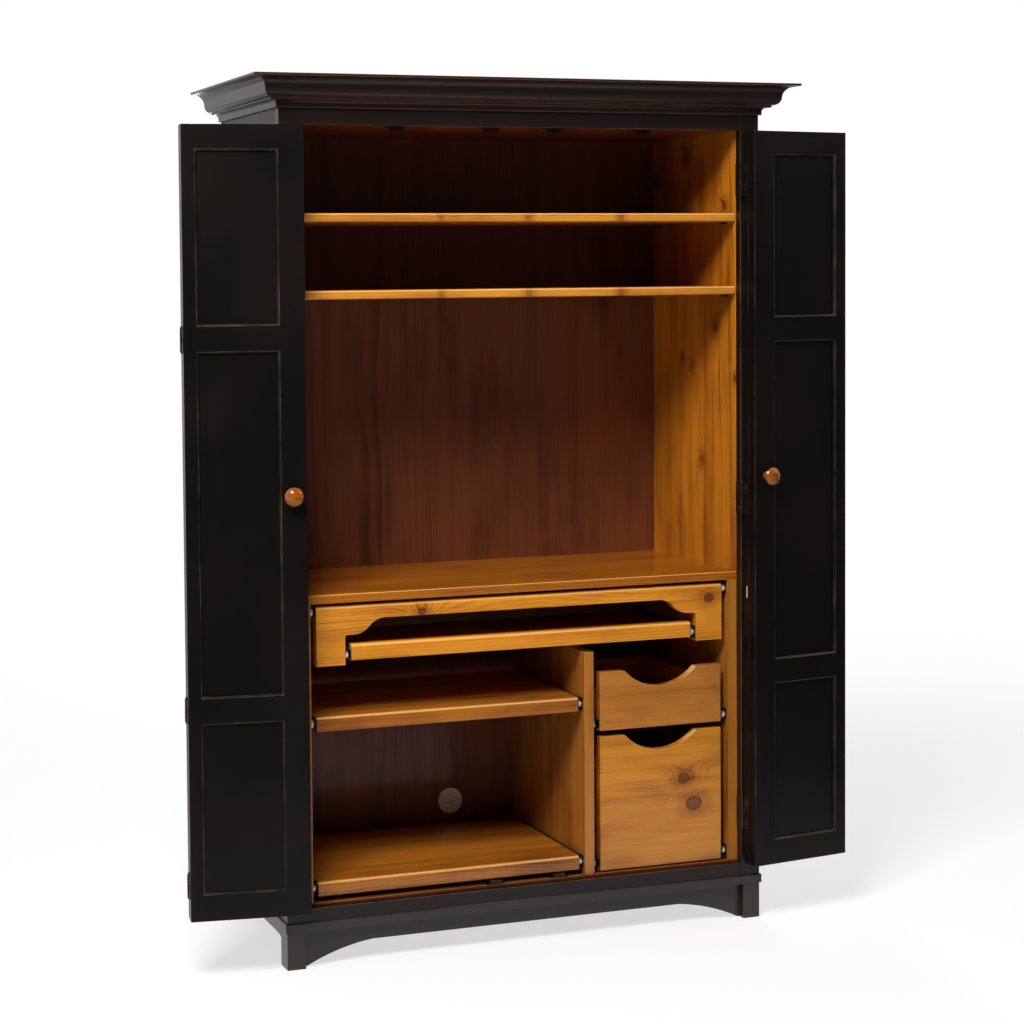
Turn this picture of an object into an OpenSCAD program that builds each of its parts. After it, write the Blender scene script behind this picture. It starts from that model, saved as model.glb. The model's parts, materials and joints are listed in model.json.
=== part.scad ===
// Tall computer desk in a cupboard: painted case with folding doors, pine inside,
// a pull-out work surface over a sliding tray, two pull-out shelves and two drawers.
// Millimetres, +Z up, front towards -Y. The rest position has the doors folded open.

/* [Case] */
// Width of the case across its sides, without the crown
case_w = 1070; // [1040:5:1150]
// Depth of the case, without the crown
case_d = 430; // [420:5:500]
// Height from the floor to the top of the crown
total_h = 1796; // [1780:2:1860]
// Thickness of the painted outer sides
side_t = 19; // [16:1:21]
// Thickness of the pine boards that line the sides
lining_t = 24; // [20:1:26]
// Thickness of the face frame
face_t = 21; // [19:1:22]
// Height of the rail over the doors
head_rail_h = 33; // [28:1:45]
// Height of the rail under the doors
bottom_rail_h = 27; // [24:1:36]
// Thickness of the back panel
back_t = 8; // [6:1:10]
// How far the back panel is set in from the back edge
back_inset = 6; // [4:1:8]
// Thickness of the floor, ceiling, desktop and shelves
board_t = 18; // [16:1:19]
// Height of the floor board over the bottom rail
floor_lip = 4; // [3:1:6]

/* [Crown] */
// Height of the crown moulding
crown_h = 63; // [61:1:72]
// Overhang of the crown lip at the front and sides
crown_out = 67; // [65:1:75]
// Thickness of the lip at the top of the crown
crown_lip = 5; // [4:0.5:6]
// Radius of the hollow under the lip
hollow_r = 23; // [20:0.5:24]
// Radius of the round below the hollow
round_r = 16; // [14:0.5:17]
// Height of the step under the round
crown_step = 4; // [3:0.5:5]
// Radius of the small cove at the foot of the crown
cove_r = 8.5; // [7:0.5:9]
// Thickness of the board that closes the top of the crown
cover_t = 12; // [9:1:16]

/* [Base] */
// Height of the feet
foot_h = 76; // [70:1:90]
// Width of a foot, seen from the front
foot_w = 39; // [36:1:46]
// Depth of a foot, seen from the side
foot_d = 45; // [40:1:55]
// How far the aprons are set back behind the faces of the feet
apron_inset = 14; // [10:1:16]
// Thickness of the aprons
apron_t = 20; // [16:1:22]
// Height of the front arch
arch_h = 42.5; // [36:0.5:48]
// Width of the curved end of the front arch
arch_run = 141; // [120:1:160]
// Radius of the curved ends of the front arch
arch_r = 420; // [380:10:500]
// Height of the trim band over the feet
trim_h = 19; // [16:1:24]
// How far the trim band stands proud of the case
trim_out = 3.5; // [3:0.5:5]

/* [Doors] */
// Angle that the doors stand open from closed
door_open = 188; // [184:1:188]
// Thickness of a door leaf
leaf_t = 19; // [18:0.5:20]
// Gap round each leaf
door_gap = 3; // [2.8:0.1:3.4]
// Width of the leaf's stile at its free or hinged edge
wide_stile = 55; // [50:1:60]
// Width of the leaf's stile at the fold
fold_stile = 30; // [26:1:36]
// Height of the leaf's bottom rail
leaf_bottom = 56; // [50:1:64]
// Height of the leaf's two middle rails
leaf_rail = 57; // [50:1:64]
// Height of the leaf's top rail
leaf_top = 52; // [46:1:60]
// Height of the lowest panel opening
low_panel_h = 334; // [310:1:350]
// Height of the highest panel opening
high_panel_h = 339; // [320:1:360]
// Thickness of the door panels
panel_t = 6; // [5:0.5:7]
// Depth of the panels behind the leaf's outer face
panel_inset = 6.5; // [6:0.5:7]
// Depth of the groove that holds a panel
groove_d = 7; // [6:0.5:8]
// Width of the bevel round each panel opening
bevel = 3; // [2:0.5:4]

/* [Door hinges] */
// Height of a case hinge
case_hinge_h = 68; // [60:1:74]
// Height of a fold hinge
fold_hinge_h = 46; // [42:1:48]
// Distance of the case hinge pin in front of the face frame
pin_out = 5; // [4.9:0.1:5.5]
// Radius of a case hinge knuckle
knuckle_r = 3.5; // [3.2:0.1:3.7]
// Radius of a fold hinge knuckle
fold_knuckle_r = 3; // [2.8:0.1:3.1]
// Distance of the fold pin behind the leaf's inner face
fold_back = 1.6; // [1.5:0.1:1.8]
// Radius of the hinge pins
pin_r = 1.5; // [1.4:0.1:1.7]
// Thickness of the hinge wings
wing_t = 1.2; // [1:0.1:1.2]
// Running clearance between a pin and its bore
pin_air = 0.05; // [0.03:0.01:0.08]

/* [Knobs] */
// Diameter of a knob
knob_d = 40; // [36:1:44]
// Projection of a knob from the door
knob_len = 33; // [30:1:36]
// Height of the knobs over the floor
knob_z = 965; // [900:5:1000]
// Distance of a knob's centre from the leaf's free edge
knob_in = 30; // [25:1:34]

/* [Inside] */
// Height of the desktop's upper face
desk_z = 754; // [745:1:760]
// Clear height over the upper adjustable shelf
top_bay_h = 175; // [150:1:200]
// Clear height between the adjustable shelves
second_bay_h = 138; // [120:1:160]
// Thickness of the boards that carry the runners
spacer_t = 20; // [18:1:21]
// Share of the width between the runner boards that the drawers' bay takes
drawer_bay_share = 0.337; // [0.32:0.001:0.35]
// Thickness of the partition
partition_t = 22; // [18:1:24]
// Height of the partition's top over the floor
partition_z = 600; // [590:1:602]
// Radius of the shelf pins
shelf_pin_r = 2.5; // [2.5:0.1:3]
// How far a shelf pin stands out of the lining
shelf_pin_out = 13; // [10:1:15]
// How far a shelf pin goes into the lining
shelf_pin_in = 12; // [10:1:14]

/* [Work surface] */
// Height of the work surface's upper face
work_z = 730; // [728:0.5:731]
// Height of the foot of the work surface's front
work_foot_z = 607.5; // [606:0.5:612]
// Thickness of the fronts of the pull-outs and drawers
front_t = 20; // [18:1:22]
// Width of each leg of the work surface's front
leg_w = 62; // [58:1:66]
// Width of the ledge between a leg and its curved shoulder
shoulder_ledge = 19; // [14:1:24]
// Width of the curved shoulder
shoulder_run = 67; // [60:1:76]
// Height of the foot of the curved shoulder
shoulder_z = 669; // [664:1:674]
// Height of the top of the front's opening
keyhole_top_z = 700.5; // [696:0.5:704]
// Radius of the inner corner between a leg and its ledge
leg_corner_r = 6; // [3:0.5:10]
// Radius of the rounded top edge of the work surface
work_edge_r = 10; // [8:0.5:12]
// Thickness of the cheeks that carry the tray
cheek_t = 18; // [16:1:20]
// Length of runner that stays in the case when the work surface is out
work_overlap = 70; // [68:1:130]

/* [Tray] */
// Height of the tray's lower face
tray_z = 616; // [614:0.5:618]
// Height of the tray's front lip
tray_lip_h = 34; // [30:1:38]
// Depth of the tray
tray_d = 290; // [280:5:300]
// How much shorter the tray's runners are than the work surface's
tray_runner_short = 70; // [66:1:80]
// Length of runner that stays under the work surface when the tray is out
tray_overlap = 60; // [58:1:120]

/* [Pull-out shelves] */
// Height of the front lip of a pull-out shelf
lip_h = 31; // [28:1:34]
// Height of the lower face of the bottom pull-out shelf
bottom_shelf_z = 136; // [135:0.5:142]
// Height of the lower face of the middle pull-out shelf
middle_shelf_z = 474; // [460:1:490]
// Radius of the rounded edge of the lips
lip_edge_r = 9; // [6:0.5:11]
// Length of runner that stays in the case when a pull-out shelf is out
shelf_overlap = 80; // [68:1:130]

/* [Drawers] */
// Height of the lower edge of the file drawer's front
file_z = 129; // [128.5:0.5:132]
// Height of the file drawer's front
file_front_h = 287; // [270:1:292]
// Height of the lower edge of the small drawer's front
small_z = 429; // [426:1:434]
// Height of the small drawer's front
small_front_h = 124.5; // [110:0.5:130]
// Width of the finger cut-out in a drawer front
cut_w = 169; // [150:1:180]
// Depth of the finger cut-out
cut_d = 37; // [30:1:42]
// Radius of the two corners where the cut-out meets the top edge
cut_corner_r = 5; // [2:0.5:8]
// Thickness of the drawer box's sides and back
box_t = 12; // [10:1:14]
// Thickness of the drawer bottoms
box_bottom_t = 6; // [5:0.5:8]
// Height of the small drawer's sides
small_side_h = 84; // [70:1:90]
// Height of the file drawer's sides
file_side_h = 236; // [200:1:244]
// Length of runner that stays in the case when a drawer is out
drawer_overlap = 70; // [68:1:130]

/* [Runners] */
// Side room for a pull-out shelf's runner
shelf_gap = 12; // [11.5:0.5:13]
// Side room for a drawer's runner
drawer_gap = 16; // [15:0.5:17]
// Side room for the runners of the work surface and the tray
work_gap = 13; // [12:0.5:14]
// Distance of the pull-outs' fronts behind the face frame's front
front_y = 26; // [25:0.5:28]
// Room between the runners' back ends and the back panel
runner_room = 36; // [30:1:60]
// Height of the runner channels
channel_h = 26; // [25:0.5:28]
// Thickness of the runner steel
steel_t = 1.2; // [1:0.1:1.4]
// Radius of the rollers
roller_r = 9; // [8:0.5:9.5]
// Width of the rollers
roller_w = 6; // [5:0.5:6]
// Radius of the roller axles
axle_r = 2; // [1.8:0.1:2.4]

/* [Cable outlet] */
// Radius of the outlet's flange
outlet_r = 28.5; // [26:0.5:32]
// Distance of the outlet from the middle, towards the left
outlet_x = 22; // [0:1:60]
// Height of the outlet's centre
outlet_z = 210; // [200:1:260]

/* [Hidden] */
$fn = 48;

// Colours of the finishes
paint = "#241c19";
pine = "#b5752f";
dark_metal = "#4a3b33";
steel = "#2b2b2d";
nylon = "#dcdad2";
knob_wood = "#7a3a1c";
outlet_grey = "#8a8078";

// Clearance shared by parts that meet but move apart, and how far a cut passes a face
part_air = 0.3;
cut_over = 1;

// Straight steps in the curve at each end of an arch
arch_steps = 14;

// Small radii on the edges of boards
edge_r = 2;
under_r = 1;
desk_edge_r = 3;
shelf_edge_r = 5;
shelf_under_r = 4;
lip_under_r = 3;

// Crown: how far the lip passes the hollow and the step passes the cove
lip_nose = 7;
cove_nose = 7;

// Heights of the case, from the floor up
trim_top = foot_h + trim_h;
opening_low = trim_top + bottom_rail_h;
floor_z = opening_low + floor_lip;
frieze_z = total_h - crown_h;
opening_high = frieze_z - head_rail_h;

// Widths and depths of the case
half_w = case_w / 2;
inner_x = half_w - side_t - lining_t;
back_face = case_d - back_inset - back_t;
frame_air = 1;
board_y = face_t + frame_air;
carrier_x = inner_x - spacer_t;
shelf_side_air = 1;
shelf_back_air = 2;
shelf_x = inner_x - shelf_side_air;
shelf_back = back_face - shelf_back_air;
shelf_high_z = opening_high - top_bay_h;
shelf_low_z = shelf_high_z - board_t - second_bay_h;
pin_front = 40;
pin_rear = 45;
pin_ys = [board_y + pin_front, back_face - pin_rear];
drawer_bay_w = 2 * carrier_x * drawer_bay_share;
partition_x = carrier_x - drawer_bay_w - partition_t;

// Magnetic catches: a screwed plate with a housing, whose two pole plates face the leaf
catch_w = 42;
catch_d = 14;
catch_h = 8.5;
catch_plate_t = 1.6;
catch_box_w = 26;
catch_screw_r = 1.6;
pole_w = 20;
pole_deep = 6;
pole_out = 0.5;
pole_up = 1.4;

// Door leaves
leaf_w = (2 * inner_x - 5 * door_gap) / 4;
leaf_low = opening_low + door_gap;
leaf_h = opening_high - door_gap - leaf_low;
hinge_x = inner_x - door_gap / 2;
fold_x = inner_x - door_gap - leaf_w - door_gap / 2;
fold_y = leaf_t + fold_back;
wing_set = door_gap / 2 - wing_t;
mid_panel_h = leaf_h - leaf_bottom - leaf_top - 2 * leaf_rail - low_panel_h - high_panel_h;
panel_lows = [
    leaf_low + leaf_bottom,
    leaf_low + leaf_bottom + low_panel_h + leaf_rail,
    leaf_low + leaf_bottom + low_panel_h + leaf_rail + mid_panel_h + leaf_rail
];
panel_heights = [low_panel_h, mid_panel_h, high_panel_h];

// Where the catches sit: beside the folds, and beside the middle
hinge_leaf_catch = 31;
lead_leaf_catch = 70;
floor_catch = 72;
head_catch_xs = [-fold_x - hinge_leaf_catch, -lead_leaf_catch, lead_leaf_catch, fold_x + hinge_leaf_catch];
floor_catch_xs = [-floor_catch, floor_catch];

// Hinges: heights over the leaf's foot, or under its head, and the small parts they share
case_hinge_low = 109;
case_hinge_middle = 790;
case_hinge_high = 102;
fold_hinge_low = 68;
fold_hinge_middle = 419;
fold_hinge_high = 421;
case_hinge_zs = [leaf_low + case_hinge_low, leaf_low + case_hinge_middle, leaf_low + leaf_h - case_hinge_high];
fold_hinge_zs = [leaf_low + fold_hinge_low, leaf_low + fold_hinge_middle, leaf_low + leaf_h - fold_hinge_high];
knuckle_air = 0.2;
collar_h = 2.2;
collar_share = 0.72;
finial_share = 0.6;
finial_room = 5;
hinge_screw_r = 1.8;
wing_short = 1;
fold_wing_short = 2;

// Pull-outs
right_bay_low = partition_x + partition_t;
shelf_x0 = -carrier_x + shelf_gap;
shelf_x1 = partition_x - shelf_gap;
drawer_x0 = right_bay_low + drawer_gap;
drawer_x1 = carrier_x - drawer_gap;
work_x = carrier_x - work_gap;
leg_x = work_x - leg_w;
shoulder_x = leg_x - shoulder_ledge;
shoulder_top_x = shoulder_x - shoulder_run;
tray_x = leg_x - work_gap;
box_up = 3;
bottom_up = 6;

// Runners
rail_back = 4;
runner_y = front_y + rail_back;
runner_len = back_face - runner_room - runner_y;
tray_runner_len = runner_len - tray_runner_short;
roller_y = runner_y + rail_back + roller_r;
roller_x = steel_t + 0.8;
rail_short = 2;
rail_web = 7;
shoe_len = 22;
stop_len = 8;
stop_h = 3;
flange_short = 3;
mouth = 10;
axle_head_r = axle_r + 1.5;
axle_head_t = 1;
slide_back = runner_y + runner_len;
middle_runner_z = middle_shelf_z + lip_h / 2;
bottom_runner_z = bottom_shelf_z + lip_h / 2;
work_runner_z = work_z - channel_h / 2;
tray_runner_drop = 6;
tray_runner_z = tray_z + tray_lip_h / 2 - tray_runner_drop;
small_runner_z = small_z + channel_h / 2;
file_runner_up = 2;
file_runner_z = file_z + channel_h / 2 + file_runner_up;

// Cable outlet
flange_lap = 2.5;
flange_t = 1.5;
sleeve_r = outlet_r - flange_lap;
sleeve_wall = 3;
cap_r = sleeve_r - sleeve_wall;
cap_seat = 2;
cap_t = 4;

// Knob: foot, neck and head
knob_foot_r = 9;
knob_foot_t = 4;
knob_neck_r = 7;
knob_head_t = 15;
knob_hollow_r = 8;
dome_r = knob_d / 2 + 3;

// Place of the whole model: the origin lies under the middle of its box
swing = door_open - 180;
knob_reach = pin_out + 2 * fold_y + knob_len - dome_r;
front_reach = pin_out + cos(swing) * knob_reach - sin(swing) * (door_gap / 2 + knob_in) + dome_r;
middle_y = (case_d - front_reach) / 2;

// Moves a part from the case's own frame, with y 0 on the face frame, to the model's frame
module placed() {
    translate([0, -middle_y, 0]) children();
}

// A part and its mirror image on the other side
module both_sides() {
    children();
    mirror([1, 0, 0]) children();
}

// A box from its lowest to its highest corner
module block(low, high) {
    translate(low) cube(high - low);
}

// Runs a profile, drawn as depth and height, along X from x0 to x1
module run_x(x0, x1) {
    translate([x0, 0, 0]) rotate([90, 0, 90]) linear_extrude(x1 - x0) children();
}

// What a quarter round of radius r leaves over at a corner at the origin
module corner_waste(r) {
    difference() {
        translate([-cut_over, -r]) square([r + cut_over, r + cut_over]);
        translate([r, -r]) circle(r);
    }
}

// Section of a board whose front edge is at depth 0, with its top and bottom front edges rounded
module board_section(depth, height, top_r, bottom_r) {
    difference() {
        square([depth, height]);
        translate([0, height]) corner_waste(top_r);
        mirror([0, 1]) corner_waste(bottom_r);
    }
}

// Case

module side_panels() {
    color(paint) placed() both_sides()
        block([half_w - side_t, face_t, trim_top], [half_w, case_d, frieze_z]);
}

module pin_places() {
    for (z = [shelf_low_z, shelf_high_z], y = pin_ys)
        translate([inner_x, y, z - board_t - shelf_pin_r]) rotate([0, 90, 0]) children();
}

module side_linings() {
    color(pine) placed() both_sides() difference() {
        block([inner_x, face_t, trim_top], [half_w - side_t, back_face, frieze_z]);
        pin_places() translate([0, 0, -cut_over])
            cylinder(r = shelf_pin_r + pin_air, h = shelf_pin_in + part_air + cut_over);
    }
}

module back_panel() {
    color(pine) placed() difference() {
        block([side_t - half_w, back_face, trim_top], [half_w - side_t, back_face + back_t, frieze_z]);
        translate([-outlet_x, back_face - cut_over, outlet_z]) rotate([-90, 0, 0])
            cylinder(r = sleeve_r + part_air, h = back_t + 2 * cut_over);
    }
}

module ceiling_board() {
    color(pine) placed() block([-inner_x, face_t, opening_high], [inner_x, back_face, opening_high + board_t]);
}

module floor_board() {
    color(pine) placed() block([-inner_x, face_t, floor_z - board_t], [inner_x, back_face, floor_z]);
}

module face_stiles() {
    color(paint) placed() both_sides() block([inner_x, 0, trim_top], [half_w, face_t, frieze_z]);
}

module face_rails() {
    color(paint) placed() {
        block([-inner_x, 0, trim_top], [inner_x, face_t, opening_low]);
        block([-inner_x, 0, opening_high], [inner_x, face_t, frieze_z]);
    }
}

// Crown and base, mitred at the front corners

// Keeps what lies over the front run, out to the mitres
module front_mitre(out, inset) {
    linear_extrude(total_h) polygon([
        [-half_w - out, -out], [half_w + out, -out], [half_w - inset, inset], [inset - half_w, inset]
    ]);
}

// Keeps what lies over the right side run, back from the mitre
module side_mitre(out, inset) {
    linear_extrude(total_h) polygon([
        [half_w + out, -out], [half_w + out, case_d], [half_w - inset, case_d], [half_w - inset, inset]
    ]);
}

// Runs a profile, drawn as distance out of the case and height, round the front and sides,
// with a post behind each mitre
module round_the_case(out, inset, height) {
    intersection() {
        run_x(-half_w - out, half_w + out) mirror([1, 0]) children();
        front_mitre(out, inset);
    }
    both_sides() intersection() {
        translate([half_w, case_d, 0]) rotate([90, 0, 0]) linear_extrude(case_d + out) children();
        side_mitre(out, inset);
    }
    both_sides() block([half_w - inset, 0, 0], [half_w, inset, height]);
}

// Crown profile from its foot up: fillet, cove, step, round, hollow and lip
module crown_profile() {
    lip_z = crown_h - crown_lip;
    hollow_x = crown_out - lip_nose;
    turn_x = hollow_x - hollow_r;
    turn_z = lip_z - hollow_r;
    step_z = turn_z - round_r;
    step_x = turn_x - round_r;
    cove_top = step_z - crown_step;
    cove_x = step_x - cove_nose;
    difference() {
        union() {
            translate([-side_t, 0]) square([side_t + cove_x - cove_r, crown_h]);
            translate([-side_t, cove_top - cove_r]) square([side_t + cove_x, crown_h - cove_top + cove_r]);
            translate([-side_t, cove_top]) square([side_t + step_x, crown_h - cove_top]);
            translate([step_x, turn_z]) intersection() {
                circle(round_r);
                translate([0, -round_r]) square([round_r, round_r]);
            }
            translate([-side_t, turn_z]) square([side_t + hollow_x, lip_z - turn_z]);
            translate([-side_t, lip_z]) square([side_t + crown_out, crown_lip]);
        }
        translate([hollow_x, turn_z]) circle(hollow_r);
        translate([cove_x, cove_top - cove_r]) intersection() {
            circle(cove_r);
            translate([-cove_r, 0]) square([cove_r + cut_over, cove_r]);
        }
    }
}

module crown_moulding() {
    color(paint) placed() {
        translate([0, 0, frieze_z]) round_the_case(crown_out, side_t, crown_h) crown_profile();
        block([side_t / 2 - half_w, case_d - side_t, frieze_z], [half_w - side_t / 2, case_d, total_h]);
    }
}

module crown_cover() {
    color(paint) placed()
        block([side_t - half_w, side_t, total_h - cover_t], [half_w - side_t, case_d - side_t, total_h]);
}

// Section of the trim band, with its upper outer edge rounded
module trim_profile() {
    translate([-foot_w + trim_out, 0]) difference() {
        square([foot_w, trim_h]);
        translate([foot_w, trim_h]) mirror([1, 0]) corner_waste(edge_r);
    }
}

module base_trim() {
    color(paint) placed() {
        translate([0, 0, foot_h]) round_the_case(trim_out, foot_w - trim_out, trim_h) trim_profile();
        block([foot_w / 2 - half_w, case_d - foot_w, foot_h], [half_w - foot_w / 2, case_d, trim_top]);
    }
}

// Points along an arc that bulges upwards from one place to another
function arc_points(from, to, radius, steps) = let (
    chord = to - from,
    sag = sqrt(radius * radius - chord * chord / 4),
    centre = (from + to) / 2 + sag / norm(chord) * [chord[1], -chord[0]],
    low = atan2(to[1] - centre[1], to[0] - centre[0]),
    high = atan2(from[1] - centre[1], from[0] - centre[0])
) [for (i = [0 : steps]) let (a = high + (low - high) * i / steps) centre + radius * [cos(a), sin(a)]];

// Half of an arch over the floor: flat in the middle, then an arc down to the foot
module half_arch(half_span, rise, run, radius, foot) {
    polygon(concat(
        [[-cut_over, -cut_over], [-cut_over, rise]],
        arc_points([half_span - run, rise], [half_span, foot], radius, arch_steps),
        [[half_span, -cut_over]]
    ));
}

module front_apron() {
    span = half_w - foot_w;
    foot_step = 1.5;
    shoulder = 7;
    translate([0, apron_inset + apron_t, 0]) rotate([90, 0, 0]) linear_extrude(apron_t) difference() {
        translate([-span, foot_step]) square([2 * span, foot_h - foot_step]);
        half_arch(span - shoulder, arch_h, arch_run, arch_r, foot_step);
        mirror([1, 0]) half_arch(span - shoulder, arch_h, arch_run, arch_r, foot_step);
    }
}

// Side apron, with an arch that meets the feet part of the way up
module side_apron() {
    half_span = case_d / 2 - foot_d;
    side_foot = 31;
    side_rise = 46;
    side_run = 90;
    side_r = 300;
    x1 = half_w - apron_inset;
    translate([0, case_d / 2, 0]) run_x(x1 - apron_t, x1) difference() {
        translate([-half_span, 0]) square([2 * half_span, foot_h]);
        half_arch(half_span, side_rise, side_run, side_r, side_foot);
        mirror([1, 0]) half_arch(half_span, side_rise, side_run, side_r, side_foot);
    }
}

module aprons() {
    back_rail_z = foot_h / 2;
    color(paint) placed() {
        front_apron();
        both_sides() side_apron();
        block([foot_w - half_w, case_d - apron_inset - apron_t, back_rail_z],
              [half_w - foot_w, case_d - apron_inset, foot_h]);
    }
}

module feet() {
    color(paint) placed() both_sides() for (y = [0, case_d - foot_d])
        block([half_w - foot_w, y, 0], [half_w, y + foot_d, foot_h]);
}

// Boards inside

module desktop() {
    color(pine) placed() translate([0, board_y, desk_z - board_t])
        run_x(-inner_x, inner_x) board_section(back_face - board_y, board_t, desk_edge_r, under_r);
}

module adjustable_shelves() {
    color(pine) placed() for (z = [shelf_low_z, shelf_high_z])
        translate([0, board_y, z - board_t])
            run_x(-shelf_x, shelf_x)
                board_section(shelf_back - board_y, board_t, shelf_edge_r, shelf_under_r);
}

module shelf_pins() {
    color(dark_metal) placed() both_sides() pin_places() translate([0, 0, -shelf_pin_out])
        cylinder(r = shelf_pin_r, h = shelf_pin_out + shelf_pin_in);
}

module partition() {
    color(pine) placed()
        block([partition_x, board_y, floor_z], [partition_x + partition_t, back_face, partition_z]);
}

module runner_boards() {
    color(pine) placed() both_sides()
        block([carrier_x, board_y, floor_z], [inner_x, back_face, desk_z - board_t]);
}

// A catch that hangs under a board: its plate, its screw holes, its housing and its pole plates
module catch_body() {
    screw_x = (catch_w + catch_box_w) / 4;
    difference() {
        block([-catch_w / 2, 0, catch_h - catch_plate_t], [catch_w / 2, catch_d, catch_h]);
        for (side = [-1, 1]) translate([side * screw_x, catch_d / 2, 0])
            cylinder(r = catch_screw_r, h = catch_h + cut_over);
    }
    block([-catch_box_w / 2, 0, 0], [catch_box_w / 2, catch_d, catch_h - catch_plate_t / 2]);
    for (z = [pole_up, catch_h - catch_plate_t - pole_up - wing_t])
        block([-pole_w / 2, -pole_out, z], [pole_w / 2, pole_deep, z + wing_t]);
}

module door_catches() {
    color(dark_metal) placed() {
        for (x = head_catch_xs)
            translate([x, face_t, opening_high - catch_h]) catch_body();
        for (x = floor_catch_xs)
            translate([x, face_t, floor_z + catch_h]) mirror([0, 0, 1]) catch_body();
    }
}

// Cable outlet in the back

// Turns a shape drawn up the Z axis to point to the front, at the outlet
module at_outlet() {
    translate([-outlet_x, back_face, outlet_z]) rotate([90, 0, 0]) children();
}

module outlet_sleeve() {
    color(outlet_grey) placed() at_outlet() difference() {
        union() {
            cylinder(r = outlet_r, h = flange_t);
            translate([0, 0, -back_t]) cylinder(r = sleeve_r, h = back_t + flange_t);
        }
        translate([0, 0, flange_t - cap_t]) cylinder(r = cap_r + part_air, h = cap_t + cut_over);
        translate([0, 0, -back_t - cut_over]) cylinder(r = cap_r - cap_seat, h = back_t + 2 * cut_over);
    }
}

module outlet_cap() {
    slot_w = 32;
    slot_h = 7;
    color(outlet_grey) placed() at_outlet() translate([0, 0, flange_t - cap_t + part_air]) difference() {
        cylinder(r = cap_r, h = cap_t - part_air);
        block([-slot_w / 2, -slot_h / 2, -cut_over], [slot_w / 2, slot_h / 2, cap_t + cut_over]);
    }
}

// Doors. A leaf is drawn with its fold edge at x 0 and its outer face at y 0.

// Moves the left door's parts from closed to where the open door holds them
module left_swung() {
    translate([-hinge_x, -pin_out, 0]) rotate([0, 0, -door_open]) translate([hinge_x, pin_out, 0]) children();
}

// Moves the left leading leaf's parts from flat to folded on the hinged leaf
module left_folded() {
    left_swung() translate([-fold_x, fold_y, 0]) rotate([0, 0, 180]) translate([fold_x, -fold_y, 0]) children();
}

// Puts a leaf's own frame where the hinged leaf or the leading leaf is when closed
module as_hinge_leaf() {
    translate([-fold_x - door_gap / 2, 0, 0]) mirror([1, 0, 0]) children();
}

module as_lead_leaf() {
    translate([-fold_x + door_gap / 2, 0, 0]) children();
}

module panel_opening(low, height) {
    opening_w = leaf_w - wide_stile - fold_stile;
    block([fold_stile, -cut_over, low], [fold_stile + opening_w, leaf_t + cut_over, low + height]);
    block([fold_stile - groove_d, panel_inset - part_air, low - groove_d],
          [fold_stile + opening_w + groove_d, panel_inset + panel_t + part_air, low + height + groove_d]);
    translate([fold_stile + opening_w / 2, 0, low + height / 2]) rotate([90, 0, 0])
        translate([0, 0, -bevel]) linear_extrude(bevel * 2, slices = 1, $fn = 4,
            scale = [(opening_w + 4 * bevel) / opening_w, (height + 4 * bevel) / height])
            square([opening_w, height], center = true);
}

module leaf_frame() {
    difference() {
        block([0, 0, leaf_low], [leaf_w, leaf_t, leaf_low + leaf_h]);
        for (i = [0 : 2]) panel_opening(panel_lows[i], panel_heights[i]);
        for (z = fold_hinge_zs) translate([-door_gap / 2, fold_y, z - fold_hinge_h / 2 - finial_room])
            cylinder(r = fold_knuckle_r + part_air, h = fold_hinge_h + 2 * finial_room);
    }
}

module leaf_panels() {
    reach = groove_d - frame_air;
    for (i = [0 : 2])
        block([fold_stile - reach, panel_inset, panel_lows[i] - reach],
              [leaf_w - wide_stile + reach, panel_inset + panel_t, panel_lows[i] + panel_heights[i] + reach]);
}

module left_hinge_leaf_frame() {
    color(paint) placed() left_swung() as_hinge_leaf() leaf_frame();
}

module left_hinge_leaf_panels() {
    color(paint) placed() left_swung() as_hinge_leaf() leaf_panels();
}

module left_lead_leaf_frame() {
    color(paint) placed() left_folded() as_lead_leaf() leaf_frame();
}

module left_lead_leaf_panels() {
    color(paint) placed() left_folded() as_lead_leaf() leaf_panels();
}

module right_hinge_leaf_frame() {
    mirror([1, 0, 0]) left_hinge_leaf_frame();
}

module right_hinge_leaf_panels() {
    mirror([1, 0, 0]) left_hinge_leaf_panels();
}

module right_lead_leaf_frame() {
    mirror([1, 0, 0]) left_lead_leaf_frame();
}

module right_lead_leaf_panels() {
    mirror([1, 0, 0]) left_lead_leaf_panels();
}

// Hinges. A hinge has three knuckles: the two outer ones hold the pin, the middle one turns.

// One of the three knuckles of a hinge of height h, counted from below
module knuckle(h, r, third) {
    translate([0, 0, -h / 2 + third * h / 3 + knuckle_air]) cylinder(r = r, h = h / 3 - 2 * knuckle_air);
}

// Pin with a small finial at each end
module hinge_pin(h, r) {
    translate([0, 0, -h / 2]) cylinder(r = pin_r, h = h);
    for (end = [-1, 1]) translate([0, 0, end * (h / 2 + collar_h / 2 - 2 * knuckle_air)]) {
        cylinder(r = r * collar_share, h = collar_h, center = true);
        translate([0, 0, end * collar_h * collar_share]) sphere(r * finial_share);
    }
}

// A wing of a hinge whose pin is on the Z axis: the plate runs towards +Y at x set to set + wing_t
module hinge_wing(h, r, set, reach, thirds) {
    clear = r + part_air;
    middle = (clear + reach) / 2;
    window = 3;
    difference() {
        block([set, clear, -h / 2], [set + wing_t, reach, h / 2]);
        for (z = [-h / 3, h / 3]) translate([set - cut_over, middle, z]) rotate([0, 90, 0])
            cylinder(r = hinge_screw_r, h = wing_t + 2 * cut_over);
        block([set - cut_over, middle - window, -h / 8], [set + wing_t + cut_over, reach - window, h / 8]);
    }
    for (third = thirds) block([set, 0, -h / 2 + third * h / 3 + knuckle_air],
                               [set + wing_t, clear + under_r, -h / 2 + (third + 1) * h / 3 - knuckle_air]);
}

// The half of a hinge that holds the pin
module pin_half(h, r, set, reach) {
    hinge_wing(h, r, set, reach, [0, 2]);
    knuckle(h, r, 0);
    knuckle(h, r, 2);
    hinge_pin(h, r);
}

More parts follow.
